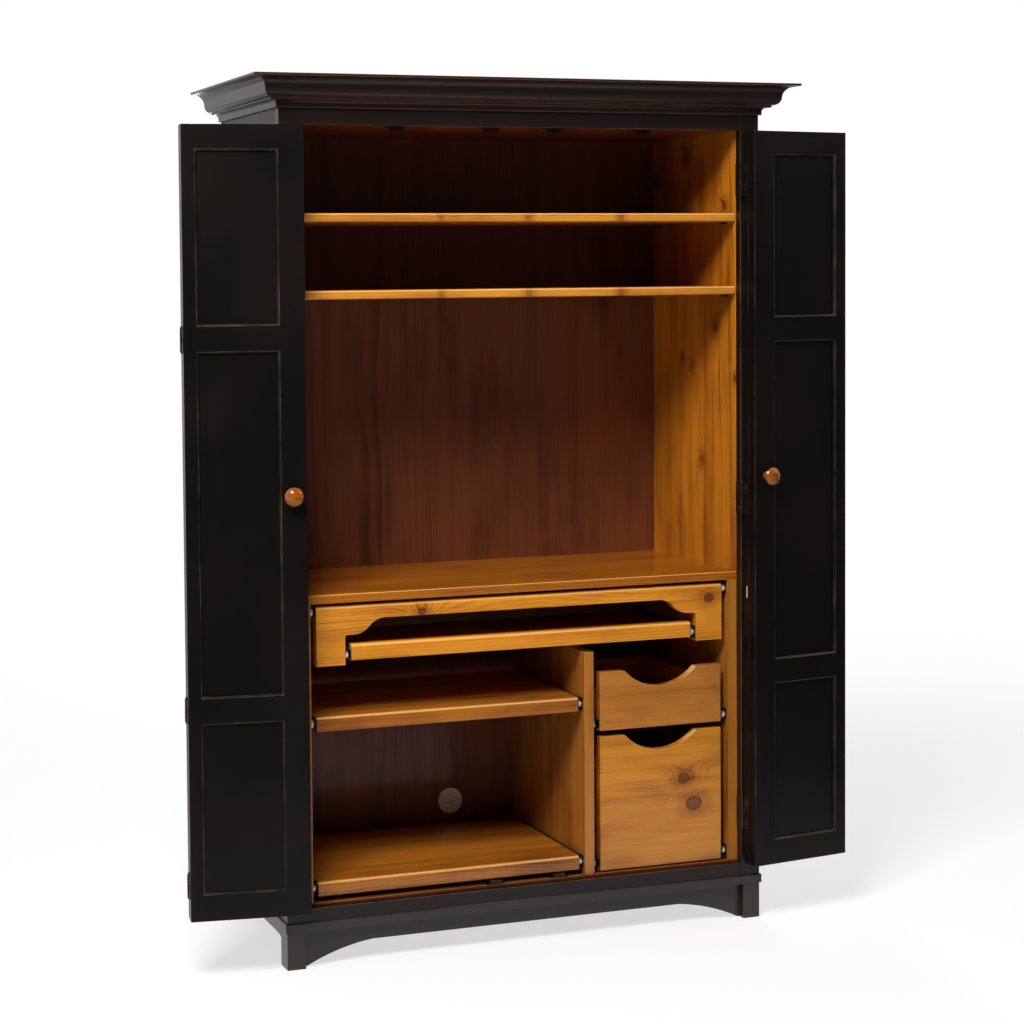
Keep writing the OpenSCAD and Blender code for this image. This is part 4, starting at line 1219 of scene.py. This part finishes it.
@dataclass(frozen=True)
class Plate:
    """A thin plate with round corners and a small bevel round its face, in millimetres.

    Attributes:
        wide: Its width.
        high: Its height.
        thick: Its thickness.
        corner: The radius of its corners.
        bevel: The width and depth of its bevel.
        steps: Steps in each round corner.
    """

    wide: float
    high: float
    thick: float
    corner: float
    bevel: float = 0.25
    steps: int = 6

    def ring(self, shape: Shape, shrink: float, height: float) -> Corners:
        """Adds the plate's outline to a shape.

        Args:
            shape: The shape.
            shrink: How far the outline is drawn in.
            height: Its height over the seat.

        Returns:
            The outline's corners, anticlockwise.
        """
        radius = self.corner - shrink
        corners = []
        for quarter, (right, up) in enumerate(((1, 1), (-1, 1), (-1, -1), (1, -1))):
            for step in range(self.steps + 1):
                turn = math.radians(90 * (quarter + step / self.steps))
                x = right * (self.wide / 2 - self.corner) + radius * math.cos(turn)
                y = up * (self.high / 2 - self.corner) + radius * math.sin(turn)
                corners.append(shape.verts.new((x, y, height)))
        return corners

    def shape(self) -> Shape:
        """Builds the plate, closed all round.

        Returns:
            The shape, in millimetres, seated at height 0.
        """
        shape = bmesh.new()
        foot = self.ring(shape, 0.0, 0.0)
        shoulder = self.ring(shape, 0.0, self.thick - self.bevel)
        face = self.ring(shape, self.bevel, self.thick)
        band(shape, foot, shoulder)
        band(shape, shoulder, face)
        shape.faces.new(foot)
        shape.faces.new(face)
        bmesh.ops.recalc_face_normals(shape, faces=shape.faces)
        return shape


Seated = tuple[Screw | Plate, Matrix]


def joined_mesh(node: str) -> bpy.types.Mesh:
    """Copies a node's mesh with its split corners joined and its flat faces made whole.

    Args:
        node: The node's name.

    Returns:
        The new mesh.
    """
    whole = bmesh.new()
    whole.from_mesh(frame["nodes"][node].data)
    bmesh.ops.remove_doubles(whole, verts=whole.verts, dist=WELD_GAP)
    bmesh.ops.dissolve_limit(whole, angle_limit=FLAT_ANGLE, verts=whole.verts, edges=whole.edges)
    for face in whole.faces:
        face.smooth = True
        face.material_index = 0
    mesh = bpy.data.meshes.new(f"{node}_finished")
    whole.to_mesh(mesh)
    whole.free()
    mesh.set_sharp_from_angle(angle=SHARP_ANGLE)
    return mesh


def fittings_mesh(name: str, parts: list[Seated]) -> bpy.types.Mesh:
    """Makes one mesh of several like fittings.

    Args:
        name: The mesh's name.
        parts: The fittings and the transforms of their seats.

    Returns:
        The new mesh.
    """
    joined = bmesh.new()
    for part, place in parts:
        shape = part.shape()
        shape.transform(place @ Matrix.Scale(MM, 4))
        drawn = bpy.data.meshes.new("drawn")
        shape.to_mesh(drawn)
        shape.free()
        joined.from_mesh(drawn)
        bpy.data.meshes.remove(drawn)
    for face in joined.faces:
        face.smooth = True
    mesh = bpy.data.meshes.new(name)
    joined.to_mesh(mesh)
    joined.free()
    mesh.set_sharp_from_angle(angle=SHARP_ANGLE)
    return mesh


def stand(name: str, data: bpy.types.ID) -> bpy.types.Object:
    """Stands a new mesh, lamp or camera in the scene.

    Args:
        name: The object's name.
        data: Its mesh, lamp or camera.

    Returns:
        The new object.
    """
    item = bpy.data.objects.new(name, data)
    bpy.context.scene.collection.objects.link(item)
    return item


class Workshop:
    """Makes pieces and puts finishes on them, so that each finish is made once."""

    def __init__(self) -> None:
        """Builds the shared effects."""
        self.effects = Effects()
        self.made: dict[Finish, bpy.types.Material] = {}
        self.pieces: list[bpy.types.Object] = []

    def material(self, finish: Finish) -> bpy.types.Material:
        """Gives a finish's material, made on its first use.

        Args:
            finish: The finish.

        Returns:
            The material.
        """
        if finish not in self.made:
            self.made[finish] = finish.material(self.effects)
        return self.made[finish]

    def keep(self, piece: bpy.types.Object) -> None:
        """Lists a finished piece."""
        self.pieces.append(piece)

    def fit(self, name: str, parts: list[Seated], body: str, slot: str, finish: Finish) -> None:
        """Makes one piece of several like fittings that a body carries.

        Args:
            name: The piece's name.
            parts: The fittings and the transforms of their seats.
            body: The body that carries them.
            slot: The record's material slot; not used.
            finish: Their finish.
        """
        mesh = fittings_mesh(name, parts)
        mesh.materials.append(self.material(finish))
        piece = stand(name, mesh)
        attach(piece, body)
        self.keep(piece)

    def coat(self, node: str, slot: str, finish: Finish) -> None:
        """Puts a finish on a carried-over node as it is.

        Args:
            node: The node's name.
            slot: The record's material slot; not used.
            finish: The finish.
        """
        piece = frame["nodes"][node]
        piece.data.materials.clear()
        piece.data.materials.append(self.material(finish))
        self.keep(piece)

    def ease(self, node: str, slot: str, finish: Finish, rubbed: Finish | None = None) -> None:
        """Makes the piece that stands for a node, with its sharp edges eased as sandpaper leaves them.

        Args:
            node: The node's name.
            slot: The record's material slot; not used.
            finish: The finish on its faces.
            rubbed: The finish on the eased edges, if it is another one.
        """
        mesh = joined_mesh(node)
        piece = stand(f"{node}_finished", mesh)
        bevel = piece.modifiers.new("eased_edges", "BEVEL")
        bevel.width = EASED_WIDTH
        bevel.segments = EASED_STEPS
        bevel.limit_method = "ANGLE"
        bevel.angle_limit = EASED_ANGLE
        bevel.use_clamp_overlap = False
        bevel.miter_outer = "MITER_SHARP"
        bevel.harden_normals = True
        mesh.materials.append(self.material(finish))
        if rubbed:
            mesh.materials.append(self.material(rubbed))
            bevel.material = 1
        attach(piece, body_of(frame["nodes"][node])[0])
        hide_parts(node)
        self.keep(piece)


@dataclass
class PaintedCase:
    """The painted outside: panels, face frame, crown, base and feet.

    Attributes:
        shop: The workshop.
        painted: The painted nodes, each with its paint on faces and on edges.
    """

    shop: Workshop
    painted: tuple[tuple[str, PaintFinish, PaintFinish], ...] = (
        ("side_panels", PAINT_SIDE, PAINT_FRAME_EDGE),
        ("face_stiles", PAINT, PAINT_FRAME_EDGE),
        ("face_rails", PAINT, PAINT_FRAME_EDGE),
        ("crown_cover", PAINT_LEAF, PAINT_CROWN_EDGE),
        ("crown_moulding", PAINT_CROWN, PAINT_CROWN_EDGE),
        ("base_trim", PAINT_BASE, PAINT_EDGE),
        ("feet", PAINT_BASE, PAINT_EDGE),
        ("aprons", PAINT_BASE, PAINT_EDGE),
    )

    def build(self) -> None:
        """Dresses the painted pieces."""
        for node, paint, edge in self.painted:
            self.shop.ease(node, "black_paint", paint, edge)


@dataclass
class PineInside:
    """The stained pine boards inside the case, and the metal on them.

    Attributes:
        shop: The workshop.
        boards: The boards' nodes with their finishes.
        fittings: The nodes of aged metal.
    """

    shop: Workshop
    boards: tuple[tuple[str, PineFinish], ...] = (
        ("side_linings", PINE_LINING),
        ("back_panel", PINE_BACK),
        ("ceiling_board", PINE_SHADED),
        ("floor_board", PINE_SHADED),
        ("desktop", PINE_LEVEL),
        ("adjustable_shelves", PINE_SHELF),
        ("partition", PINE_UPRIGHT),
        ("runner_boards", PINE_UPRIGHT),
    )
    fittings: tuple[str, ...] = ("shelf_pins", "door_catches", "case_hinge_wings")

    def build(self) -> None:
        """Dresses the boards and the metal."""
        for node, finish in self.boards:
            self.shop.ease(node, "pine", finish)
        for node in self.fittings:
            self.shop.coat(node, "aged_metal", AGED)
        self.shop.coat("case_runners", "runner_steel", STEEL)


@dataclass(frozen=True)
class DoorMotion:
    """How the leaves of one door stand at rest, worked out from the door's two joints."""

    side: Side

    def joint(self, name: str) -> dict:
        """Gives the record of the door's joint of that name, written without its side."""
        return next(joint for joint in frame["joints"] if joint["name"] == f"{self.side.value}_{name}")

    def turn(self, name: str) -> Matrix:
        """Gives the turn that a joint has made from its closed end to rest.

        Args:
            name: The joint's name without its side.

        Returns:
            The transform.
        """
        joint = self.joint(name)
        there = Matrix.Translation(Vector(joint["pos_m"]))
        angle = math.radians(-joint["range_deg"][0])
        return there @ Matrix.Rotation(angle, 4, Vector(joint["axis"])) @ there.inverted()

    def swung(self) -> Matrix:
        """Gives the turn that the hinged leaf has made."""
        return self.turn("door")

    def folded(self) -> Matrix:
        """Gives the turn that the leading leaf has made."""
        return self.turn("fold") @ self.swung()

    def pin(self) -> Vector:
        """Gives the case hinges' pin."""
        return Vector(self.joint("door")["pos_m"])

    def fold_pin(self) -> Vector:
        """Gives the fold hinges' pin where it is while the door is closed."""
        return self.swung().inverted() @ Vector(self.joint("fold")["pos_m"])


@dataclass(frozen=True)
class HingeRow:
    """Like hinges, one above the other, in millimetres.

    Attributes:
        heights: How high their middles are.
        reach: How far a wing's two screws are above and below its middle.
        spin: How far the lowest hinge's screws are turned, in degrees.
        next_spin: How much further the next hinge's are turned.
    """

    heights: tuple[float, ...]
    reach: float
    spin: float = 17.0
    next_spin: float = 31.0

    def screws(self, x: float, y: float, facing: int, turn: Matrix) -> list[Seated]:
        """Sets two screws into each hinge's wing on one side.

        Args:
            x: Where the wings' faces are, in metres.
            y: How far back the screws are, in metres.
            facing: The way along X that the faces look.
            turn: How the wings have turned from closed to rest.

        Returns:
            The screws with their seats.
        """
        found = []
        for i, z in enumerate(self.heights):
            for end in (-1, 1):
                spot = Vector((x, y, (z + end * self.reach) * MM))
                spin = self.spin + self.next_spin * i * end
                found.append((Screw(), turn @ seat(spot, (facing, 0, 0), spin)))
        return found


@dataclass
class FoldingDoor:
    """One folding door: its hinged leaf, its leading leaf, the hinges between them and the knob.

    Sizes are in millimetres. A distance in X is from the cupboard's middle, and one in Z from the floor.

    Attributes:
        shop: The workshop.
        side: The side that the door hangs on.
        leaf_parts: The painted nodes, named without the side.
        hinge_parts: The nodes of aged metal, named without the side.
        case_hinges: The hinges between case and hinged leaf.
        fold_hinges: The hinges between the leaves.
        wing_air: How far a wing's face is from the middle of the hinge's gap.
        case_wing_middle: How far behind the pin the case wing's screws are.
        door_wing_middle: How far behind the pin the door wing's screws are.
        fold_wing_middle: How far in front of the fold's pin its screws are.
        leaf_back: How far the leaves' backs are behind the face frame's front.
        keeper: A keeper plate.
        keeper_screw: A screw that holds it.
        keeper_screw_x: How far the screws are from the plate's middle.
        keeper_spin: How far the screws are turned, in degrees.
        hinged_keeper: X and Z of the hinged leaf's keeper.
        leading_keepers: X and Z of the leading leaf's keepers.
        glide: The glide on the hinged leaf's edge.
        glide_z: How high it is.
        glide_in: How far it is behind the leaf's front.
        leaf_gap: How far the leaf's edge is from the pin.
    """

    shop: Workshop
    side: Side
    leaf_parts: tuple[str, ...] = (
        "hinge_leaf_frame", "hinge_leaf_panels", "lead_leaf_frame", "lead_leaf_panels",
    )
    hinge_parts: tuple[str, ...] = ("door_hinge_wings", "fold_wings_outer", "fold_wings_inner")
    case_hinges: HingeRow = HingeRow(heights=(234, 915, 1595), reach=22.67)
    fold_hinges: HingeRow = HingeRow(heights=(193, 544, 1276), reach=15.33)
    wing_air: float = 0.3
    case_wing_middle: float = 14.4
    door_wing_middle: float = 13.4
    fold_wing_middle: float = 10.95
    leaf_back: float = 19.0
    keeper: Plate = Plate(34, 12, 1.2, 2.5)
    keeper_screw: Screw = Screw(radius=2.2, shank=1.2)
    keeper_screw_x: float = 13.5
    keeper_spin: float = 40.0
    hinged_keeper: tuple[float, float] = (276.25, 1690.0)
    leading_keepers: tuple[tuple[float, float], ...] = ((70.0, 1690.0), (72.0, 132.5))
    glide: Plate = Plate(5, 27, 2.0, 2.4, 0.9)
    glide_z: float = 714.0
    glide_in: float = 12.0
    leaf_gap: float = 3.0

    def build(self) -> None:
        """Dresses the door's pieces and adds its small fittings."""
        side = self.side.value
        for part in self.leaf_parts:
            self.shop.ease(f"{side}_{part}", "black_paint", PAINT_LEAF, PAINT_LEAF_EDGE)
        for part in self.hinge_parts:
            self.shop.coat(f"{side}_{part}", "aged_metal", AGED)
        self.shop.coat(f"{side}_knob", "knob_wood", KNOB)
        motion = DoorMotion(self.side)
        self.hinge_screws(motion)
        self.keepers(motion)
        self.edge_glide(motion)

    def hinge_screws(self, motion: DoorMotion) -> None:
        """Adds the screws of the case hinges and of the fold hinges.

        Args:
            motion: How the door's leaves stand at rest.
        """
        side, out = self.side.value, self.side.out()
        air = out * self.wing_air * MM
        still, swung, folded = Matrix.Identity(4), motion.swung(), motion.folded()
        pin, fold = motion.pin(), motion.fold_pin()
        fold_y = fold.y - self.fold_wing_middle * MM
        case = self.case_hinges.screws(pin.x + air, pin.y + self.case_wing_middle * MM, -out, still)
        door = self.case_hinges.screws(pin.x - air, pin.y + self.door_wing_middle * MM, out, swung)
        outer = self.fold_hinges.screws(fold.x + air, fold_y, -out, swung)
        inner = self.fold_hinges.screws(fold.x - air, fold_y, out, folded)
        self.shop.fit(f"{side}_case_hinge_screws", case, "case", "aged_metal", HEADS)
        self.shop.fit(f"{side}_door_hinge_screws", door + outer, f"{side}_hinge_leaf", "aged_metal", HEADS)
        self.shop.fit(f"{side}_fold_hinge_screws", inner, f"{side}_lead_leaf", "aged_metal", HEADS)

    def keeper_parts(self, x: float, z: float, turn: Matrix) -> list[Seated]:
        """Makes one keeper plate with its two screws on the back of a leaf.

        Args:
            x: How far out the keeper is, in millimetres.
            z: How high it is.
            turn: How the leaf has turned from closed to rest.

        Returns:
            The parts with their seats.
        """
        spot = in_case(self.side.out() * x, self.leaf_back, z)
        parts: list[Seated] = [(self.keeper, turn @ seat(spot, (0, 1, 0)))]
        for end in (-1, 1):
            head = spot + Vector((end * self.keeper_screw_x, self.keeper.thick, 0)) * MM
            parts.append((self.keeper_screw, turn @ seat(head, (0, 1, 0), self.keeper_spin * end)))
        return parts

    def keepers(self, motion: DoorMotion) -> None:
        """Adds the steel plates that the catches hold.

        Args:
            motion: How the door's leaves stand at rest.
        """
        side, swung, folded = self.side.value, motion.swung(), motion.folded()
        hinged = self.keeper_parts(*self.hinged_keeper, swung)
        leading = [part for spot in self.leading_keepers for part in self.keeper_parts(*spot, folded)]
        self.shop.fit(f"{side}_hinge_leaf_keeper", hinged, f"{side}_hinge_leaf", "aged_metal", STEEL)
        self.shop.fit(f"{side}_lead_leaf_keepers", leading, f"{side}_lead_leaf", "aged_metal", STEEL)

    def edge_glide(self, motion: DoorMotion) -> None:
        """Adds the pale glide on the hinged leaf's edge, level with the work surface.

        Args:
            motion: How the door's leaves stand at rest.
        """
        side, out = self.side.value, self.side.out()
        edge = motion.pin().x - out * self.leaf_gap * MM
        spot = Vector((edge, FACE_Y + self.glide_in * MM, self.glide_z * MM))
        glide = (self.glide, motion.swung() @ seat(spot, (out, 0, 0)))
        self.shop.fit(f"{side}_edge_glide", [glide], f"{side}_hinge_leaf", "nylon", GLIDE)


@dataclass
class PullOuts:
    """The work surface, the tray, the pull-out shelves and the drawers.

    Sizes are in millimetres.

    Attributes:
        shop: The workshop.
        boards: The boards' nodes with their finishes.
        carried: The pull-outs, each with the node that its rails are screwed to.
        rail_thick: How far a screw's seat is outside that node.
        rail_top: How far the screws are below the rail's top.
        rail_screw: A screw of the rails.
        shares: Where the screws are along a rail, as shares of its length.
        spin: How far a rail's first screw is turned, in degrees.
        next_spin: How much further the next one is turned.
    """

    shop: Workshop
    boards: tuple[tuple[str, PineFinish], ...] = (
        ("work_surface_board", PINE_PULL_OUT),
        ("middle_shelf_board", PINE_PULL_OUT),
        ("bottom_shelf_board", PINE_PULL_OUT),
        ("tray_board", PINE_TRAY),
        ("work_surface_front", PINE_WORK_FRONT),
        ("work_surface_cheeks", PINE_SIDES),
        ("small_drawer_front", PINE_SMALL_FRONT),
        ("file_drawer_front", PINE_FILE_FRONT),
        ("small_drawer_box", PINE_SIDES),
        ("file_drawer_box", PINE_SIDES),
    )
    carried: tuple[tuple[str, str], ...] = (
        ("work_surface", "work_surface_cheeks"),
        ("tray", "tray_board"),
        ("middle_shelf", "middle_shelf_board"),
        ("bottom_shelf", "bottom_shelf_board"),
        ("small_drawer", "small_drawer_box"),
        ("file_drawer", "file_drawer_box"),
    )
    rail_thick: float = 1.2
    rail_top: float = 10.5
    rail_screw: Screw = Screw(radius=3.1, rise=0.65, shank=1.5, sunk=0.6, deep=0.5)
    shares: tuple[float, ...] = (0.14, 0.5, 0.86)
    spin: float = 25.0
    next_spin: float = 50.0

    def build(self) -> None:
        """Dresses the pull-outs and adds the screws of their rails."""
        for node, finish in self.boards:
            self.shop.ease(node, "pine", finish)
        for pull_out, _ in self.carried:
            self.shop.coat(f"{pull_out}_runners", "runner_steel", STEEL)
            self.shop.coat(f"{pull_out}_rollers", "nylon", NYLON)
        for pull_out, node in self.carried:
            self.rail_screws(pull_out, node)

    def rail_screws(self, pull_out: str, node: str) -> None:
        """Adds the screws that hold the sliding rails to what they carry.

        Args:
            pull_out: The pull-out's name.
            node: The node that the rails are screwed to.
        """
        low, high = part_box(node)
        rail_low, rail_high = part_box(f"{pull_out}_runners")
        z = rail_high.z - self.rail_top * MM
        parts: list[Seated] = []
        for x, facing in ((low.x - self.rail_thick * MM, -1), (high.x + self.rail_thick * MM, 1)):
            for i, share in enumerate(self.shares):
                y = rail_low.y + share * (rail_high.y - rail_low.y)
                turned = seat(Vector((x, y, z)), (facing, 0, 0), self.spin + self.next_spin * i)
                parts.append((self.rail_screw, turned))
        self.shop.fit(f"{pull_out}_rail_screws", parts, pull_out, "runner_steel", BRIGHT)


@dataclass
class CableOutlet:
    """The round outlet in the back panel.

    Sizes are in millimetres.

    Attributes:
        shop: The workshop.
        parts: The outlet's nodes.
        slot_wide: Width of the lips in the cap's slot.
        slot_half: Half the slot's height.
        lip_air: How far each lip is from the slot's middle.
        lip_thick: The lips' thickness.
        lip_corner: The radius of the lips' corners.
        lip_bevel: The lips' bevel.
    """

    shop: Workshop
    parts: tuple[str, ...] = ("outlet_sleeve", "outlet_cap")
    slot_wide: float = 31.8
    slot_half: float = 3.4
    lip_air: float = 0.15
    lip_thick: float = 0.8
    lip_corner: float = 0.3
    lip_bevel: float = 0.1

    def build(self) -> None:
        """Dresses the outlet and adds the lips in its slot."""
        for node in self.parts:
            self.shop.coat(node, "outlet_plastic", OUTLET)
        low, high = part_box("outlet_cap")
        middle = (low + high) / 2
        lip_high = self.slot_half - self.lip_air
        lip = Plate(self.slot_wide, lip_high, self.lip_thick, self.lip_corner, self.lip_bevel)
        up = (self.slot_half + self.lip_air) / 2
        spots = [middle + Vector((0, self.lip_thick, end * up)) * MM for end in (-1, 1)]
        lips = [(lip, seat(spot, (0, -1, 0))) for spot in spots]
        self.shop.fit("outlet_lips", lips, "outlet_cap", "outlet_plastic", LIPS)


@dataclass(frozen=True)
class Lamp:
    """A soft studio lamp: where it stands, what it points at, its size in metres and its power."""

    name: str
    place: Point
    target: Point
    size: float
    power: float

    def light(self) -> None:
        """Sets up the lamp."""
        data = bpy.data.lights.new(self.name, "AREA")
        data.shape = "SQUARE"
        data.size = self.size
        data.energy = self.power
        lamp = stand(self.name, data)
        lamp.location = self.place
        lamp.rotation_euler = (Vector(self.target) - Vector(self.place)).to_track_quat("-Z", "Y").to_euler()


@dataclass
class Studio:
    """The camera, the lamps, the pale floor and the white surroundings.

    Attributes:
        eye: The camera's place in millimetres, with Y from the face frame's front.
        turn: How far it is turned to the right, in radians.
        tilt: How far it looks up.
        roll: How far it is rolled.
        focal: Its focal length in pixels of the picture.
        centre: The pixel that it points at, counted from the left and from the top.
        image: The picture's width and height in pixels.
        sensor: The sensor's width in millimetres.
        sight: How far the camera sees, in metres.
        floor_radius: The floor's radius in metres.
        floor_corners: Corners in its rim.
        floor_white: Its colour.
        sky: Colour of the light from all round.
        lamps: The lamps.
    """

    eye: Point = (-1785.744, -4169.497, 1393.502)
    turn: float = 0.32755
    tilt: float = -0.04645
    roll: float = -0.00992
    focal: float = 2188.253
    centre: tuple[float, float] = (360.0, 380.0)
    image: int = 1024
    sensor: float = 36.0
    sight: float = 60.0
    floor_radius: float = 9.0
    floor_corners: int = 96
    floor_white: Colour = (0.9, 0.9, 0.9)
    sky: Colour = (0.96, 0.98, 1.0)
    lamps: tuple[Lamp, ...] = (
        Lamp("key_left", (-1.92, -2.45, 3.93), (0.05, 0.0, 1.0), 1.5, 250.0),
        Lamp("side_soft", (3.6, -1.6, 3.4), (0.0, 0.0, 0.9), 2.2, 30.0),
        Lamp("back_soft", (1.2, 4.4, 2.2), (0.0, 0.0, 1.0), 2.0, 100.0),
    )

    def build(self) -> None:
        """Sets up the camera, the lamps, the floor and the surroundings."""
        bpy.context.scene.view_settings.view_transform = "Standard"
        self.camera()
        for lamp in self.lamps:
            lamp.light()
        self.surroundings()
        self.floor()

    def camera(self) -> None:
        """Stands the camera where the photograph was taken from."""
        data = bpy.data.cameras.new("photo_view")
        camera = stand("photo_view", data)
        bpy.context.scene.camera = camera
        level_right = Vector((math.cos(self.turn), -math.sin(self.turn), 0))
        level_ahead = Vector((math.sin(self.turn), math.cos(self.turn), 0))
        upright = Vector((0, 0, 1))
        ahead = level_ahead * math.cos(self.tilt) + upright * math.sin(self.tilt)
        above = upright * math.cos(self.tilt) - level_ahead * math.sin(self.tilt)
        right = level_right * math.cos(self.roll) + above * math.sin(self.roll)
        above = above * math.cos(self.roll) - level_right * math.sin(self.roll)
        place = Vector(self.eye) * MM + Vector((0, FACE_Y, 0))
        axes = Matrix((right, above, -ahead)).transposed().to_4x4()
        camera.matrix_world = Matrix.Translation(place) @ axes
        data.sensor_width = self.sensor
        data.lens = self.focal * self.sensor / self.image
        data.shift_x = (self.image / 2 - self.centre[0]) / self.image
        data.shift_y = (self.centre[1] - self.image / 2) / self.image
        data.clip_end = self.sight

    def surroundings(self) -> None:
        """Lights the object softly all round, least from the front, and shows white behind it."""
        world = bpy.data.worlds.new("studio")
        world.use_nodes = True
        bpy.context.scene.world = world
        w, nodes = Wiring(world.node_tree), world.node_tree.nodes
        soft = nodes["Background"]
        back = w.axes(w.add("TexCoord").outputs["Generated"])[1]
        w.feed(soft.inputs["Color"], self.sky)
        w.feed(soft.inputs["Strength"], w.ramp(back, -0.5, 0.3, start=0.05, end=0.4))
        white = w.add("Background", {"Color": (1, 1, 1), "Strength": 1.0})
        ray = w.add("LightPath").outputs
        mirrored = w.times(ray["Is Glossy Ray"], w.ramp(back, -0.6, 0.1, start=0.02))
        seen = w.most(w.most(ray["Is Camera Ray"], ray["Is Transmission Ray"]), mirrored)
        both = w.add("MixShader", {0: seen, 1: soft.outputs[0], 2: white.outputs[0]})
        w.feed(nodes["World Output"].inputs["Surface"], both.outputs[0])

    def floor(self) -> None:
        """Lays a pale round floor that fades into the white at its rim."""
        data = bpy.data.meshes.new("studio_floor")
        disc = bmesh.new()
        bmesh.ops.create_circle(disc, cap_ends=True, segments=self.floor_corners, radius=self.floor_radius)
        disc.to_mesh(data)
        disc.free()
        data.materials.append(self.floor_material())
        stand("studio_floor", data)

    def floor_material(self) -> bpy.types.Material:
        """Makes the floor's material, pale near the object and white further out.

        What mirrors the floor shows it white near the object and far to the left, paler behind it,
        and dim elsewhere.

        Returns:
            The material.
        """
        surface = Surface("studio_floor_white")
        surface.set(Base_Color=self.floor_white, Roughness=0.9, Specular_IOR_Level=0.0)
        w = surface.wiring
        place = w.stretch(surface.place(), (1, 1, 0))
        away, axes = w.length(place), w.axes(place)
        ray = w.add("LightPath").outputs
        near = w.ramp(away, 0.9, 2.2, start=1.0, end=0.1)
        left = w.ramp(axes[0], -1.1, -2.2, start=0.1)
        behind = w.ramp(axes[1], 0.8, 1.8, start=0.1, end=0.7)
        strength = w.most(ray["Is Camera Ray"], w.most(w.most(near, left), behind))
        glow = w.add("Emission", {"Color": (1, 1, 1), "Strength": strength})
        far = w.ramp(away, 1.6, 4.5, start=0.65)
        seen = w.most(w.times(ray["Is Camera Ray"], far), ray["Is Glossy Ray"])
        both = w.add("MixShader", {0: seen, 1: surface.shader.outputs[0], 2: glow.outputs[0]})
        w.feed(surface.material.node_tree.nodes["Material Output"].inputs["Surface"], both.outputs[0])
        return surface.material


def main() -> None:
    """Builds the desk's looks, sub-assembly by sub-assembly, and the studio round it."""
    logging.basicConfig(level=logging.INFO, format="%(name)s: %(message)s")
    shop = Workshop()
    PaintedCase(shop).build()
    PineInside(shop).build()
    for side in Side:
        FoldingDoor(shop, side).build()
    PullOuts(shop).build()
    CableOutlet(shop).build()
    Studio().build()


if __name__ == "__main__":
    main()
